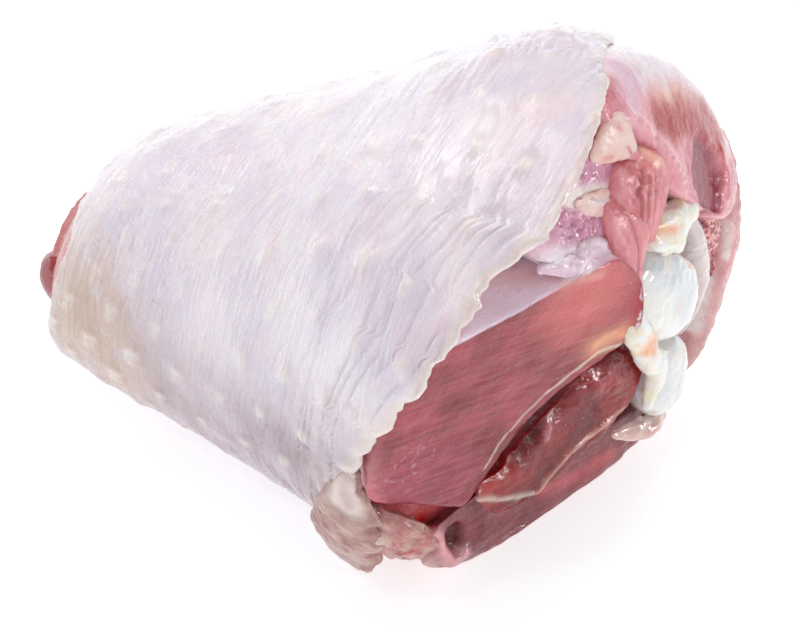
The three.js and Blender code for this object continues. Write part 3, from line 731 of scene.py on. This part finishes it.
def piece_grid(piece):
    """Round sections carried along a bent line, where |cos|^square + |sin|^square shapes each section,
    then pressed back by its planes. Gives the points, and how much each lies on the cut face."""
    line, side = np.asarray(piece["line"], float), np.asarray(piece["side"], float)
    upto = run_to_cut(line, piece["cut"]) if "cut" in piece else 1.0
    share, swell = section_rows(piece["blunt"], piece["rows"], upto)
    turn = np.linspace(0, 2 * np.pi, piece["around"], endpoint=False)
    c, d = np.cos(turn)[None, :, None], np.sin(turn)[None, :, None]
    square = piece["square"]
    box = (np.abs(c) ** square + np.abs(d) ** square) ** (-1 / square)
    middle, ahead, sideways, across = axes_along(line, side, share)
    skirt = middle + BUMP_REACH * c * sideways + BUMP_REACH * d * across
    lump = piece["bumps"] * unevenness(skirt, piece["rough"])[..., None]
    wide = through(piece["wide"], share)[:, None, None] + lump
    if "fringe" in piece:
        places = np.stack([share * FRINGE_FINENESS, 0 * share, 0 * share], -1)
        torn = fractal(places, 3, SEEDS["fringe"])[:, None, None]
        wide = wide + piece["fringe"] * np.maximum(c, 0) * torn
    deep = section_depth(piece, share, c, d, lump)
    swell = swell[:, None, None]
    p = middle + sideways * swell * box * c * wide + across * swell * box * d * deep
    return pressed_back(p, ahead, piece)


def envelope_share(p):
    """How far out a point lies in the leg's section: 0 at its middle and 1 at the outside."""
    x = p[..., 0]
    return np.hypot(
        (p[..., 1] - middle_y(x)) / half_width(x), (p[..., 2] - middle_z(x)) / half_height(x)
    )


def grain(p, piece):
    """Relief of flesh in millimetres: fine fibres along the piece's grain, and small lumps."""
    drawn = stretched(p, piece["grain"], FIBRES["length"], FIBRES["width"])
    fibres = fractal(drawn, 2, SEEDS["fibres"])
    return piece["fibre"] * fibres + piece["lumps"] * fractal(p / LUMP_SIZE, 2, SEEDS["lumps"])


def near_path(y, z, path):
    """Distance across the leg from each (y, z) place to a path of straight lines."""
    nearest = np.full(y.shape, np.inf)
    for start, end in zip(path[:-1], path[1:]):
        along = end - start
        share = np.clip(((y - start[0]) * along[0] + (z - start[1]) * along[1]) / (along @ along), 0, 1)
        away = np.hypot(y - start[0] - share * along[0], z - start[1] - share * along[1])
        nearest = np.minimum(nearest, away)
    return nearest


def marked(p, marks):
    """What a piece's marks do to it: height, wetness, colour, and how strongly the colour covers.
    Each mark is painted over the ones before it, and its path wanders by a share of its reach."""
    wander = [WANDER["share"] * noise(p / WANDER["size"], seed) for seed in SEEDS["wander"]]
    knee_end = smoothstep(p[..., 0], *KNEE_END)
    height, wet, cover = (np.zeros(p.shape[:2]) for _ in range(3))
    colour = np.zeros(p.shape)
    for one in marks:
        y, z = (p[..., axis] + one["reach"] * wander[axis - 1] for axis in (1, 2))
        away = near_path(y, z, one["path"]) / one["reach"]
        weight = np.exp(-(away ** (2 * one["steep"]))) * knee_end
        height += one["height"] * weight
        wet = np.maximum(wet, one["wet"] * weight)
        weight = weight * one["cover"]
        both = 1 - (1 - cover) * (1 - weight)
        share = weight / np.maximum(both, TINY_COVER)
        colour += (np.array(one["colour"]) - colour) * share[..., None]
        cover = both
    return height, wet, colour, cover


def held_in_box(points):
    """Eases the last BOX_MARGIN before each side of the solids' box, so that nothing passes it:
    margin * (1 - exp(-d / margin)) for a point that is d past the start of the margin."""
    low, high = np.asarray(cad_box) / METRES
    beyond = np.maximum(points - (high - BOX_MARGIN), 0)
    points = points - beyond + BOX_MARGIN * (1 - np.exp(-beyond / BOX_MARGIN))
    short = np.maximum(low + BOX_MARGIN - points, 0) * [1, 1, 0]
    return points + short - BOX_MARGIN * (1 - np.exp(-short / BOX_MARGIN))


def add_mesh(name, points, faces_of, **attributes):
    """A smooth mesh object of quads and triangles from points in millimetres, with its place in its
    mesh. Each attribute is a number for each point."""
    quads, triangles = faces_of
    mesh = bpy.data.meshes.new(name)
    mesh.vertices.add(len(points))
    placed = held_in_box(points + FRAME_SHIFT) * METRES
    mesh.vertices.foreach_set("co", placed.astype(np.float32).ravel())
    corners = np.concatenate([quads.ravel(), triangles.ravel()]).astype(np.int32)
    sizes = np.concatenate([np.full(len(quads), 4), np.full(len(triangles), 3)])
    mesh.loops.add(len(corners))
    mesh.loops.foreach_set("vertex_index", corners)
    mesh.polygons.add(len(sizes))
    mesh.polygons.foreach_set("loop_start", (np.cumsum(sizes) - sizes).astype(np.int32))
    mesh.update(calc_edges=True)
    mesh.polygons.foreach_set("use_smooth", np.ones(len(sizes), bool))
    for key, values in attributes.items():
        if values.ndim == 1:
            mesh.attributes.new(key, "FLOAT", "POINT").data.foreach_set("value", values.astype(np.float32))
        else:
            colours = np.column_stack([values, np.ones(len(values))]).astype(np.float32)
            mesh.attributes.new(key, "FLOAT_COLOR", "POINT").data.foreach_set("color", colours.ravel())
    mesh.update()
    piece = bpy.data.objects.new(name, mesh)
    bpy.context.scene.collection.objects.link(piece)
    return piece


def grid_quads(rows, around, wraps_rows=False):
    """Corner numbers of the quads of a grid that closes round, and also end to end if it wraps."""
    number = np.arange(rows * around).reshape(rows, around)
    nearer = number if wraps_rows else number[:-1]
    further = np.roll(number, -1, 0) if wraps_rows else number[1:]
    return np.stack(
        [nearer, np.roll(nearer, -1, 1), np.roll(further, -1, 1), further], -1
    ).reshape(-1, 4)


def add_closed_piece(name, grid, **attributes):
    """A grid whose first and last rows have shrunk to poles, as one closed mesh."""
    rows, around = grid.shape[:2]
    body = grid[1:-1].reshape(-1, 3)
    points = np.vstack([body, grid[0].mean(0), grid[-1].mean(0)])
    ring = np.arange(around)
    last = (rows - 3) * around + ring
    first_pole, last_pole = len(body), len(body) + 1
    start = np.stack([np.roll(ring, -1), ring, np.full(around, first_pole)], -1)
    end = np.stack([last, np.roll(last, -1), np.full(around, last_pole)], -1)
    flat = {
        key: np.concatenate([v[1:-1].reshape(-1, *v.shape[2:]), [v[0].mean(0), v[-1].mean(0)]])
        for key, v in attributes.items()
    }
    return add_mesh(name, points, (grid_quads(rows - 2, around), np.vstack([start, end])), **flat)


def flesh_piece(name):
    """One piece of PIECES with its relief, standing for the node of the same name. Wet films are
    wrinkled by 1 - 2 |noise|."""
    piece = {**USUAL, **PIECES[name]}
    p, on_cut = piece_grid(piece)
    normals = normals_of(p)
    height, gloss, colour, cover = marked(p, MARKS.get(name, []))
    edge = bell((1 - envelope_share(p)) * half_width(p[..., 0]) / EDGE_DEPTH)
    ridges = 1 - 2 * np.abs(fractal(p / WRINKLES["size"], 2, SEEDS["wrinkles"]))
    wrinkles = WRINKLES["height"] * gloss * ridges
    p = p + normals * (height + wrinkles + grain(p, piece))[..., None]
    p[..., 2] = np.maximum(p[..., 2], LOWEST_FLESH)
    made = add_closed_piece(
        name + "_flesh", p, cut=on_cut, edge=edge, gloss=gloss, tone=colour, cover=cover
    )
    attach(made, ONLY_BODY)
    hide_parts(name)
    return made


# The skin's own form


def follicle_field(x, angle):
    """Feather follicles in staggered, slightly wandering rows along the leg. Gives how near each point
    is to one, and to the slit across it, for a jittered lattice."""
    pitch, rows, stray = FOLLICLES["pitch"], FOLLICLES["rows"], FOLLICLES["stray"]
    radius = 0.5 * (half_width(x) + half_height(x))
    turn = angle / (2 * np.pi) * rows
    mound = np.zeros_like(x)
    slit = np.zeros_like(x)
    for step in (-1, 0, 1):
        row = np.round(turn) + step
        odd = row % 2
        for shift in (-1, 0, 1):
            column = np.round(x / pitch - 0.5 * odd) + shift
            spot = np.stack([column, row % rows, np.zeros_like(x)], -1) + 0.5
            dx = x - pitch * (column + 0.5 * odd + stray * noise(spot, SEEDS["stray_x"]))
            dy = (turn - row - stray * noise(spot, SEEDS["stray_y"])) / rows * 2 * np.pi * radius
            size = FOLLICLES["radius"] * (1 + FOLLICLES["uneven"] * noise(spot, SEEDS["radius"]))
            strength = FOLLICLES["strength"] + FOLLICLES["spread"] * noise(spot, SEEDS["strength"])
            mound = np.maximum(mound, bell(np.hypot(dx, dy) / size) * strength)
            slit = np.maximum(slit, bell(dy / SLITS["width"]) * bell(dx / size))
    return mound, slit


def skin_creases(q, x, angle, rim):
    """Creases round the leg, 0 in a valley and 1 beside it, and their strength by how they crowd
    towards the knee rim and by patches. They are the thin valleys of |noise| drawn out round the
    leg, and they lean over towards the rim's own line."""
    leaning = smoothstep(x, CREASE_LEAN["from"], CREASE_LEAN["to"])
    slant = CREASE_LEAN["share"] * (knee_rim(angle) - CREASE_LEAN["level"]) * leaning
    along = x - slant + CREASES["bend"] * noise(q / CREASES["bend_size"], SEEDS["bend"])
    pitch, length, fine, fine_length = (
        CREASES[key] for key in ("pitch", "length", "fine", "fine_length")
    )
    y, z = q[..., 1], q[..., 2]
    first = noise(np.stack([along / pitch, y / length, z / length], -1), SEEDS["creases"])
    crossed = [along / (fine * pitch), (y + z) / fine_length, (z - y) / fine_length]
    second = noise(np.stack(crossed, -1), SEEDS["fine_creases"])
    creases = np.minimum(1, CREASES["steepness"] * np.abs(first + fine * second))
    far, close = CREASES["crowding"]
    sparse = CREASES["sparse"]
    crowd = sparse + (1 - sparse) * smoothstep(x, rim - far, rim - close)
    patchy = noise(q / CREASE_PATCHES["size"], SEEDS["patches"])
    least = CREASE_PATCHES["least"]
    patches = least + (1 - least) * smoothstep(patchy, *CREASE_PATCHES["between"])
    return creases, crowd, patches


def skin_relief(x, angle, rim):
    """Height of the skin in millimetres: broad dents, creases, follicles with slits near the ankle,
    and an uneven lip. Also gives the follicles and the nearness of the rim."""
    q = outside(x, angle, 0)
    dents = DENTS["height"] * fractal(q / DENTS["size"], 2, SEEDS["dents"])
    creases, crowd, patches = skin_creases(q, x, angle, rim)
    mound, slit = follicle_field(x, angle)
    slits = SLITS["depth"] * slit * smoothstep(x, SLITS["none_past"], SLITS["full_before"])
    low_turn = bell((np.degrees(angle) % 360 - LIP["low_at"]) / LIP["low_spread"])
    lip = bell((rim - x) / (LIP["width"] + LIP["low_width"] * low_turn))
    height = (
        dents + CREASES["height"] * creases * crowd * patches + FOLLICLES["height"] * mound
        - slits + LIP["height"] * lip * noise(q / LIP["size"], SEEDS["lip"])
    )
    return height, mound, lip


def skin_rims(angle):
    """Where the skin starts and ends round the leg, with ragged edges that are torn along one part."""
    ring = np.stack([np.cos(angle), np.sin(angle), 0 * angle], -1)
    ragged = sum(height * noise(ring * fineness, seed) for height, fineness, seed in RAGS)
    turn = np.degrees(angle)
    fade = TORN["fade"]
    torn = smoothstep(turn, TORN["from"] - fade, TORN["from"])
    torn = torn * smoothstep(turn, TORN["to"] + fade, TORN["to"])
    rim = knee_rim(angle) + ragged * (TORN["elsewhere"] + TORN["depth"] * torn)
    return ankle_rim(angle) + ANKLE_RIM["ragged"] * ragged, rim


def skin_piece():
    """The skin as a closed ring: outer face, knee lip, lining and ankle edge, in that order. It thins
    towards its rim and droops near its corner, and its relief fades out near the table."""
    angle = np.linspace(0, 2 * np.pi, SKIN_ROUND, endpoint=False)[None, :]
    turn = np.degrees(angle)
    lip = np.linspace(0, 1, LIP_ROWS + 2)[1:-1]
    share = np.concatenate([
        np.linspace(0, 1, SKIN_ROWS), np.ones(LIP_ROWS), np.linspace(1, 0, LINING_ROWS),
        np.zeros(LIP_ROWS),
    ])[:, None]
    depth = np.concatenate([np.zeros(SKIN_ROWS), lip, np.ones(LINING_ROWS), lip[::-1]])[:, None]
    ankle, rim = skin_rims(angle)
    swell_out = LIP_SWELL * np.sin(np.pi * depth)
    x = ankle + (rim - ankle) * share + swell_out * np.where(share > 0.5, 1, -1)
    angle = np.broadcast_to(angle, x.shape)
    height, mound, near_rim = skin_relief(x, angle, np.broadcast_to(rim, x.shape))
    thin = RIM_THINNING * np.exp(-((rim - x) / RIM_FADE).clip(0))
    near_corner = bell((turn - DROOP["at"]) / DROOP["width"])
    droop = DROOP["depth"] * near_corner * np.exp(-(rim - x).clip(0) / DROOP["fade"])
    p = outside(x, angle, depth * SKIN_THICKNESS + (1 - depth) * thin + droop)
    free = smoothstep(p[..., 2], *FREE_OF_TABLE) * (1 - depth)
    p = p + normals_of(p, True) * (height * free)[..., None]
    p[..., 2] = np.maximum(p[..., 2], 0)
    # low is where the skin gets painted shade: below the leg's middle and on its -Y side
    low = smoothstep(middle_z(x) - p[..., 2], *UNDERSIDE_SHADE["under"])
    low = low * smoothstep(middle_y(x) - p[..., 1], *UNDERSIDE_SHADE["beside"])
    attributes = dict(
        mound=mound * (1 - depth), rim=near_rim, lining=depth + 0 * x, along=x / ALONG_END, low=low,
    )
    rows, around = x.shape
    none = np.zeros((0, 3), np.int64)
    flat = {key: value.ravel() for key, value in attributes.items()}
    made = add_mesh("skin_sleeve", p.reshape(-1, 3), (grid_quads(rows, around, True), none), **flat)
    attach(made, ONLY_BODY)
    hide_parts("skin")
    return made


# Shader maths

# The share of a near() patch's reach over which it is full
NEAR_CORE = 0.15


class Value:
    """A number or colour that changes over a surface: a node socket that takes Python's operators."""

    def __init__(self, finish, socket):
        self.finish = finish
        self.socket = socket

    def __add__(self, other):
        return self.finish.math("ADD", self, other)

    def __sub__(self, other):
        return self.finish.math("SUBTRACT", self, other)

    def __rsub__(self, other):
        return self.finish.math("SUBTRACT", other, self)

    def __mul__(self, other):
        return self.finish.math("MULTIPLY", self, other)

    def above(self, low, high):
        """A smooth step from 0 at low to 1 at high."""
        return self.finish.add(
            "ShaderNodeMapRange", {"Value": self, "From Min": low, "From Max": high},
            interpolation_type="SMOOTHSTEP",
        )

    __radd__ = __add__
    __rmul__ = __mul__


class Finish:
    """One material: adds nodes and links them, and keeps the shader's own settings."""

    def __init__(self, name):
        self.material = bpy.data.materials.new(name)
        self.material.use_nodes = True
        self.tree = self.material.node_tree
        self.shader = self.tree.nodes["Principled BSDF"]
        self.place = self.add("ShaderNodeTexCoord", {}, "Object")

    def add(self, kind, inputs, output=0, **settings):
        """A node of a kind, with its settings, then its inputs as values or links."""
        node = self.tree.nodes.new(kind)
        for key, value in settings.items():
            setattr(node, key, value)
        for key, value in inputs.items():
            self.feed(node.inputs[key], value)
        return Value(self, node.outputs[output])

    def feed(self, socket, value):
        """Links a Value to a socket, or sets the socket to a number or a colour."""
        if isinstance(value, Value):
            self.tree.links.new(value.socket, socket)
        elif socket.type == "RGBA":
            socket.default_value = (*value, 1.0)
        else:
            socket.default_value = value

    def math(self, operation, first, second):
        """One sum, difference or product of two numbers or Values."""
        return self.add("ShaderNodeMath", {0: first, 1: second}, operation=operation)

    def vector_math(self, operation, first, second, output="Vector"):
        """One operation on two vectors."""
        return self.add("ShaderNodeVectorMath", {0: first, 1: second}, output, operation=operation)

    def attribute(self, name, output="Fac"):
        """A value that the mesh holds for each of its points."""
        return self.add("ShaderNodeAttribute", {}, output, attribute_name=name)

    def marked(self, colour):
        """A colour under the piece's marks, whose cover is a little patchy."""
        cover = self.attribute("cover") * (self.noise(2.0, 2.0, offset=0.4) + 0.7)
        return self.mix(colour, self.attribute("tone", "Color"), cover)

    def mix(self, first, second, factor):
        """A colour from first at 0 to second at 1."""
        return self.add(
            "ShaderNodeMix", {0: factor, 6: first, 7: second}, 2, data_type="RGBA", clamp_factor=True
        )

    def noise(self, size, detail=2.0, offset=0.0, distortion=0.0, place=None):
        """Noise from 0 to 1 whose lumps are about size millimetres."""
        moved = self.vector_math("ADD", place or self.place, (offset, offset, offset))
        return self.add(
            "ShaderNodeTexNoise",
            {"Vector": moved, "Scale": 1 / (size * METRES), "Detail": detail, "Distortion": distortion},
        )

    def drawn_out(self, direction, length, width):
        """Coordinates squeezed along a direction, so that noise of size width is length long there."""
        along = unit(np.asarray(direction, float))
        share = self.vector_math("DOT_PRODUCT", self.place, tuple(along), "Value")
        squeeze = width / length - 1
        back = self.add(
            "ShaderNodeVectorMath", {0: tuple(along * squeeze), "Scale": share}, operation="SCALE"
        )
        return self.vector_math("ADD", self.place, back)

    def near(self, point, reach):
        """1 within NEAR_CORE of the reach of a point, in the solids' millimetres, and 0 past it."""
        centre = (np.asarray(point, float) + FRAME_SHIFT) * METRES
        distance = self.vector_math("DISTANCE", self.place, tuple(centre), "Value")
        return distance.above(reach * METRES, NEAR_CORE * reach * METRES)

    def bump(self, height, depth, under=None):
        """A normal tilted by a height that is depth millimetres at 1."""
        inputs = {"Height": height, "Distance": depth * METRES, "Strength": 1.0}
        if under:
            inputs["Normal"] = under
        return self.add("ShaderNodeBump", inputs)

    def finish(self, **inputs):
        """Sets the shader's sockets by name, with spaces written as underscores."""
        for key, value in inputs.items():
            self.feed(self.shader.inputs[key.replace("_", " ")], value)
        return self.material


def soft(weight, spread, depth, coat, coat_roughness):
    """Shader settings of soft wet tissue: how much light sinks in, how far it spreads in red, green and
    blue as shares of a depth in millimetres, and the wet coat."""
    return dict(
        Subsurface_Weight=weight, Subsurface_Radius=spread, Subsurface_Scale=depth * METRES,
        Coat_Weight=coat, Coat_Roughness=coat_roughness,
    )


def meat_finish(name, deep, light, film, direction, rim=(226, 196, 194), veil=1.0):
    """Wet muscle: streaks of deep and light red along the grain on its cuts, a paler film on its
    sides and round the cut, a whitish rim at the leg's outside, and the piece's marks."""
    m = Finish(name)
    cut, edge = m.attribute("cut"), m.attribute("edge")
    streaks = m.noise(0.7, 3.0, place=m.drawn_out(direction, 11, 0.7))
    patches = m.noise(8, 3.0, offset=0.07)
    flesh = m.mix(
        flesh_paint(*deep), flesh_paint(*light), (streaks * 0.4 + patches * 0.6).above(0.34, 0.66)
    )
    haze = m.noise(5, 3.0, offset=0.03, distortion=0.6)
    colour = m.mix(flesh, flesh_paint(*film), (1 - cut) * veil * (haze + 0.2).above(0.35, 0.7))
    colour = m.mix(colour, flesh_paint(*film), cut * (1 - cut) * (haze * 3))
    colour = m.mix(colour, flesh_paint(*rim), edge * 0.8 * (haze + 0.15).above(0.3, 0.6))
    dry = 1 - m.attribute("gloss") * 0.85
    fine = m.bump(m.noise(0.45, 2.0, place=m.drawn_out(direction, 2.5, 0.45)) * dry, 0.07)
    ripples = m.noise(1.3, 3.0, offset=0.05, distortion=0.8) * dry * 0.4
    return m, colour, m.bump(ripples, 0.6, fine)


def wet(m, colour, normal, rough=0.28):
    """A wet muscle's finish: its colour under the marks, and its uneven gloss."""
    dry = m.noise(2.5, 2.0, offset=0.11) * 0.3 + (rough - 0.14)
    roughness = dry * (1 - 0.7 * m.attribute("gloss"))
    return m.finish(
        Base_Color=m.marked(colour), Roughness=roughness, Normal=normal, Specular_IOR_Level=0.4,
        **soft(0.2, (1.0, 0.3, 0.25), 1.5, 0.12, 0.08),
    )


def plain_meat(name, deep, light, film, direction, rough=0.28, **settings):
    """Wet muscle with nothing but its streaks, its film and its marks."""
    return wet(*meat_finish(name, deep, light, film, direction, **settings), rough)


def calf_finish():
    """The big cut muscle: rosy with a deeper middle, coral at its upper right, a faint white haze at its
    lower left, and a lilac film over its uncut side, raised to a paler lilac as painted light against the
    shade that falls there."""
    # The film colour is partly painted light: paler than the film, to lift the shade on the uncut side
    m, colour, normal = meat_finish(
        "calf_flesh", (120, 38, 52), (162, 76, 88), (246, 210, 234), (0.37, 1, -0.2),
        rim=(206, 150, 156), veil=2.2,
    )
    cut = m.attribute("cut")
    colour = m.mix(colour, flesh_paint(208, 110, 108), m.near((109, -9, 62), 17) * cut * 0.7)
    haze = m.noise(1.6, 3.0, offset=0.2, distortion=1.0).above(0.5, 0.7)
    colour = m.mix(colour, flesh_paint(206, 160, 172), m.near((94, -42, 39), 11) * cut * haze * 0.45)
    colour = m.mix(colour, flesh_paint(146, 68, 84), m.near((95, -37, 31), 16) * cut * 0.5)
    return wet(m, colour, normal, 0.34)


def fatty_finish(name, light, deep, tint, coat=0.2, size=6.0):
    """Waxy fat, film or ligament: two tones in soft patches, and a warm tint in spots."""
    m = Finish(name)
    spots = m.noise(size * 0.6, 2.0, offset=0.09).above(0.55, 0.75)
    colour = m.mix(flesh_paint(*light), flesh_paint(*deep), m.noise(size, 3.0).above(0.35, 0.65))
    colour = m.mix(colour, flesh_paint(*tint), spots * 0.6)
    normal = m.bump(m.noise(0.9, 3.0, distortion=0.5), 0.25)
    return m.finish(
        Base_Color=m.marked(colour), Roughness=m.noise(2, 2.0) * 0.3 + 0.2, Normal=normal,
        Specular_IOR_Level=0.4, **soft(0.3, (1.0, 0.6, 0.4), 2, coat, 0.12),
    )


def cartilage_finish():
    """Smooth wet joint cartilage, bluish white with warmer edges."""
    m = Finish("joint_cartilage")
    colour = m.mix(paint(240, 236, 231), paint(220, 222, 228), m.noise(9, 1.0).above(0.35, 0.65))
    warm = m.noise(5, 2.0, offset=0.06).above(0.55, 0.7) * 0.5
    colour = m.mix(colour, paint(242, 214, 192), warm)
    return m.finish(
        Base_Color=m.marked(colour), Roughness=m.noise(4, 1.0) * 0.1 + 0.18,
        Normal=m.bump(m.noise(2.2, 2.0), 0.1), **soft(0.3, (1.0, 0.9, 0.8), 2, 0.4, 0.08),
    )


def marrow_finish():
    """Porous dark red marrow with paler crumbs of bone."""
    m = Finish("red_marrow")
    pores = m.noise(0.8, 2.0)
    colour = m.mix(flesh_paint(150, 60, 66), flesh_paint(228, 160, 158), pores.above(0.42, 0.6))
    return m.finish(
        Base_Color=m.marked(colour), Roughness=pores * 0.3 + 0.25, Normal=m.bump(pores, 0.6),
        **soft(0.15, (1.0, 0.3, 0.2), 1.5, 0.3, 0.15),
    )


def skin_finish():
    """Damp pale skin: pink-white with lilac patches, cream follicles and lip, a tan patch near the ankle,
    and painted shade low on its side, darker and pinker in patches."""
    m = Finish("turkey_skin")
    mound, rim, along, lining = (m.attribute(key) for key in ("mound", "rim", "along", "lining"))
    colour = m.mix(paint(244, 233, 238), paint(230, 219, 232), m.noise(17, 2.0).above(0.36, 0.64))
    rosy = m.noise(12, 3.0, offset=0.05, distortion=0.6).above(0.5, 0.72)
    colour = m.mix(colour, paint(240, 210, 214), rosy * 0.35)
    veins = m.noise(7, 3.0, offset=0.15, distortion=2.5)
    thread = 1 - ((veins - 0.5) * (veins - 0.5)).above(0.0, 0.0004)
    colour = m.mix(colour, paint(214, 166, 176), thread * along.above(0.6, 0.2) * 0.3)
    # Painted shade: the skin's low side darkened to grey-pink, in patches
    low = m.attribute("low") * (m.noise(9, 3.0, offset=0.33) + 0.4)
    colour = m.mix(colour, paint(164, 134, 144), low * 0.9)
    tan = m.near((18, -27, 24), 25) * m.noise(5, 3.0, offset=0.21).above(0.2, 0.5)
    colour = m.mix(colour, paint(208, 178, 156), tan * 0.85)
    colour = m.mix(colour, paint(212, 196, 206), m.near((104, -24, 94), 18) * 0.6)
    colour = m.mix(colour, paint(246, 237, 226), mound.above(0.15, 0.8) * 0.5)
    colour = m.mix(colour, paint(238, 222, 210), rim * 0.6)
    colour = m.mix(colour, paint(236, 206, 200), lining * 0.8)
    colour = m.mix(colour, paint(190, 126, 118), lining * along.above(0.3, 0.1))
    creased = m.vector_math("MULTIPLY", m.place, (1, 0.12, 0.12))
    fine = m.bump(m.noise(0.7, 3.0, place=creased), 0.4)
    normal = m.bump(m.noise(0.4, 2.0, offset=0.3), 0.05, fine)
    return m.finish(
        Base_Color=colour, Roughness=m.noise(3, 2.0) * 0.3 + 0.12, Normal=normal,
        **soft(0.3, (1.0, 0.6, 0.55), 2.5, 0.2, 0.15),
    )


def make_finishes():
    """Every material by the name that PIECES uses."""
    crosswise = (0.3, 1, -0.15)
    down = (0.1, 0.25, -1)
    return {
        "bone": fatty_finish("bone_surface", (236, 220, 208), (222, 190, 176), (202, 150, 140)),
        "cartilage": cartilage_finish(),
        "marrow": marrow_finish(),
        "ligament": fatty_finish("ligament", (252, 238, 226), (244, 216, 194), (236, 172, 140), size=4),
        "fat": fatty_finish("fat", (228, 196, 188), (220, 182, 174), (212, 146, 144), coat=0.05),
        "fold": fatty_finish("skin_fold", (174, 142, 134), (154, 112, 106), (180, 150, 120), size=4),
        "fascia": fatty_finish("thin_fascia", (184, 146, 136), (164, 110, 108), (150, 78, 84), 0.3, 3),
        "film": fatty_finish("lilac_film", (224, 202, 212), (204, 168, 186), (190, 124, 150), 0.3, 3),
        "calf": calf_finish(),
        "inner_meat": plain_meat(
            "inner_flesh", (98, 8, 22), (144, 38, 52), (146, 50, 60), crosswise, veil=0.5
        ),
        "strap": plain_meat(
            "strap_flesh", (174, 84, 92), (210, 130, 134), (222, 152, 156), down, veil=0.3, rough=0.42
        ),
        "end_meat": plain_meat(
            "end_flesh", (120, 34, 42), (152, 66, 70), (160, 84, 84), down, veil=0.3, rim=(158, 80, 82)
        ),
        "upper_meat": plain_meat(
            "upper_flesh", (192, 106, 118), (222, 154, 162), (226, 184, 190), (0.2, -0.3, 1),
            rim=(228, 208, 208), veil=0.4,
        ),
        "back_meat": plain_meat(
            "back_flesh", (190, 124, 128), (214, 164, 164), (218, 178, 178), down, veil=0.6
        ),
        "leg_meat": plain_meat(
            "leg_flesh", (118, 40, 52), (160, 84, 92), (190, 124, 126), crosswise, veil=0.8,
            rim=(196, 140, 134),
        ),
        "purple_meat": plain_meat(
            "purple_flesh", (188, 124, 150), (214, 168, 186), (216, 178, 196), crosswise, veil=0.6
        ),
        "under_meat": plain_meat(
            "under_flesh", (116, 62, 68), (152, 96, 100), (168, 110, 114), crosswise, veil=0.5
        ),
    }


# Studio

CAMERA = {"azimuth": 31.8, "elevation": 41.0, "distance": 675, "lens": 168.75, "sensor": 36.0}
CAMERA_TARGET = np.array([67.2, -0.8, 31.5])
LIGHT_AIM = 0.04
FLOOR_HALF = 3.0
FLOOR_GLOW = 0.62
SURROUND = 0.45


def add_camera():
    """The photograph's view: from the right front, looking down."""
    camera = bpy.data.objects.new("camera", bpy.data.cameras.new("camera"))
    camera.data.lens = CAMERA["lens"]
    camera.data.sensor_width = CAMERA["sensor"]
    a, e = math.radians(CAMERA["azimuth"]), math.radians(CAMERA["elevation"])
    back = np.array([math.sin(a) * math.cos(e), -math.cos(a) * math.cos(e), math.sin(e)])
    camera.location = (CAMERA_TARGET + FRAME_SHIFT + CAMERA["distance"] * back) * METRES
    camera.rotation_euler = (math.pi / 2 - e, 0, a)
    bpy.context.scene.collection.objects.link(camera)
    bpy.context.scene.camera = camera


def add_light(name, azimuth, elevation, distance, size, power, shine_only=False):
    """A square soft light, distance and size in metres and power in watts, that faces the leg from an
    azimuth and elevation in degrees. One that is for shine only is seen in glossy surfaces."""
    data = bpy.data.lights.new(name, "AREA")
    data.size = size
    data.energy = power
    light = bpy.data.objects.new(name, data)
    a, e = math.radians(azimuth), math.radians(elevation)
    light.location = (
        distance * math.sin(a) * math.cos(e), -distance * math.cos(a) * math.cos(e),
        distance * math.sin(e) + LIGHT_AIM,
    )
    light.rotation_euler = (math.pi / 2 - e, 0, a)
    light.visible_diffuse = not shine_only
    bpy.context.scene.collection.objects.link(light)


def add_studio():
    """A pale floor, a white surround, four soft lights, and three that only shine in wet surfaces."""
    half = FLOOR_HALF
    corners = [(-half, -half, 0), (half, -half, 0), (half, half, 0), (-half, half, 0)]
    mesh = bpy.data.meshes.new("floor")
    mesh.from_pydata(corners, [], [(0, 1, 2, 3)])
    floor = bpy.data.objects.new("floor", mesh)
    bpy.context.scene.collection.objects.link(floor)
    white = Finish("floor_white")
    mesh.materials.append(white.finish(
        Base_Color=(0.76, 0.84, 0.87), Roughness=0.7, Emission_Color=(1.0, 1.0, 1.0),
        Emission_Strength=FLOOR_GLOW,
    ))
    world = bpy.data.worlds.new("surround")
    world.use_nodes = True
    world.node_tree.nodes["Background"].inputs["Color"].default_value = (1, 1, 1, 1)
    world.node_tree.nodes["Background"].inputs["Strength"].default_value = SURROUND
    bpy.context.scene.world = world
    add_light("overhead", -130, 74, 1.2, 0.8, 6.0)
    add_light("left_back", -115, 35, 1.0, 0.3, 1.5)
    add_light("right", 82, 26, 0.9, 0.06, 0.45)
    add_light("front", -10, 58, 0.9, 0.08, 0.5)
    add_light("skin_shine", -98, 34, 1.0, 0.2, 1.8, shine_only=True)
    add_light("right_shine", 107, 11, 0.9, 0.24, 5.0, shine_only=True)
    add_light("top_shine", 60, 55, 0.9, 0.1, 2.0, shine_only=True)
    bpy.context.scene.view_settings.view_transform = "Standard"


def main():
    """Builds the studio and every piece, and gives each its material."""
    add_camera()
    add_studio()
    finishes = make_finishes()
    skin_piece().data.materials.append(skin_finish())
    for name, piece in PIECES.items():
        flesh_piece(name).data.materials.append(finishes[piece["finish"]])


main()
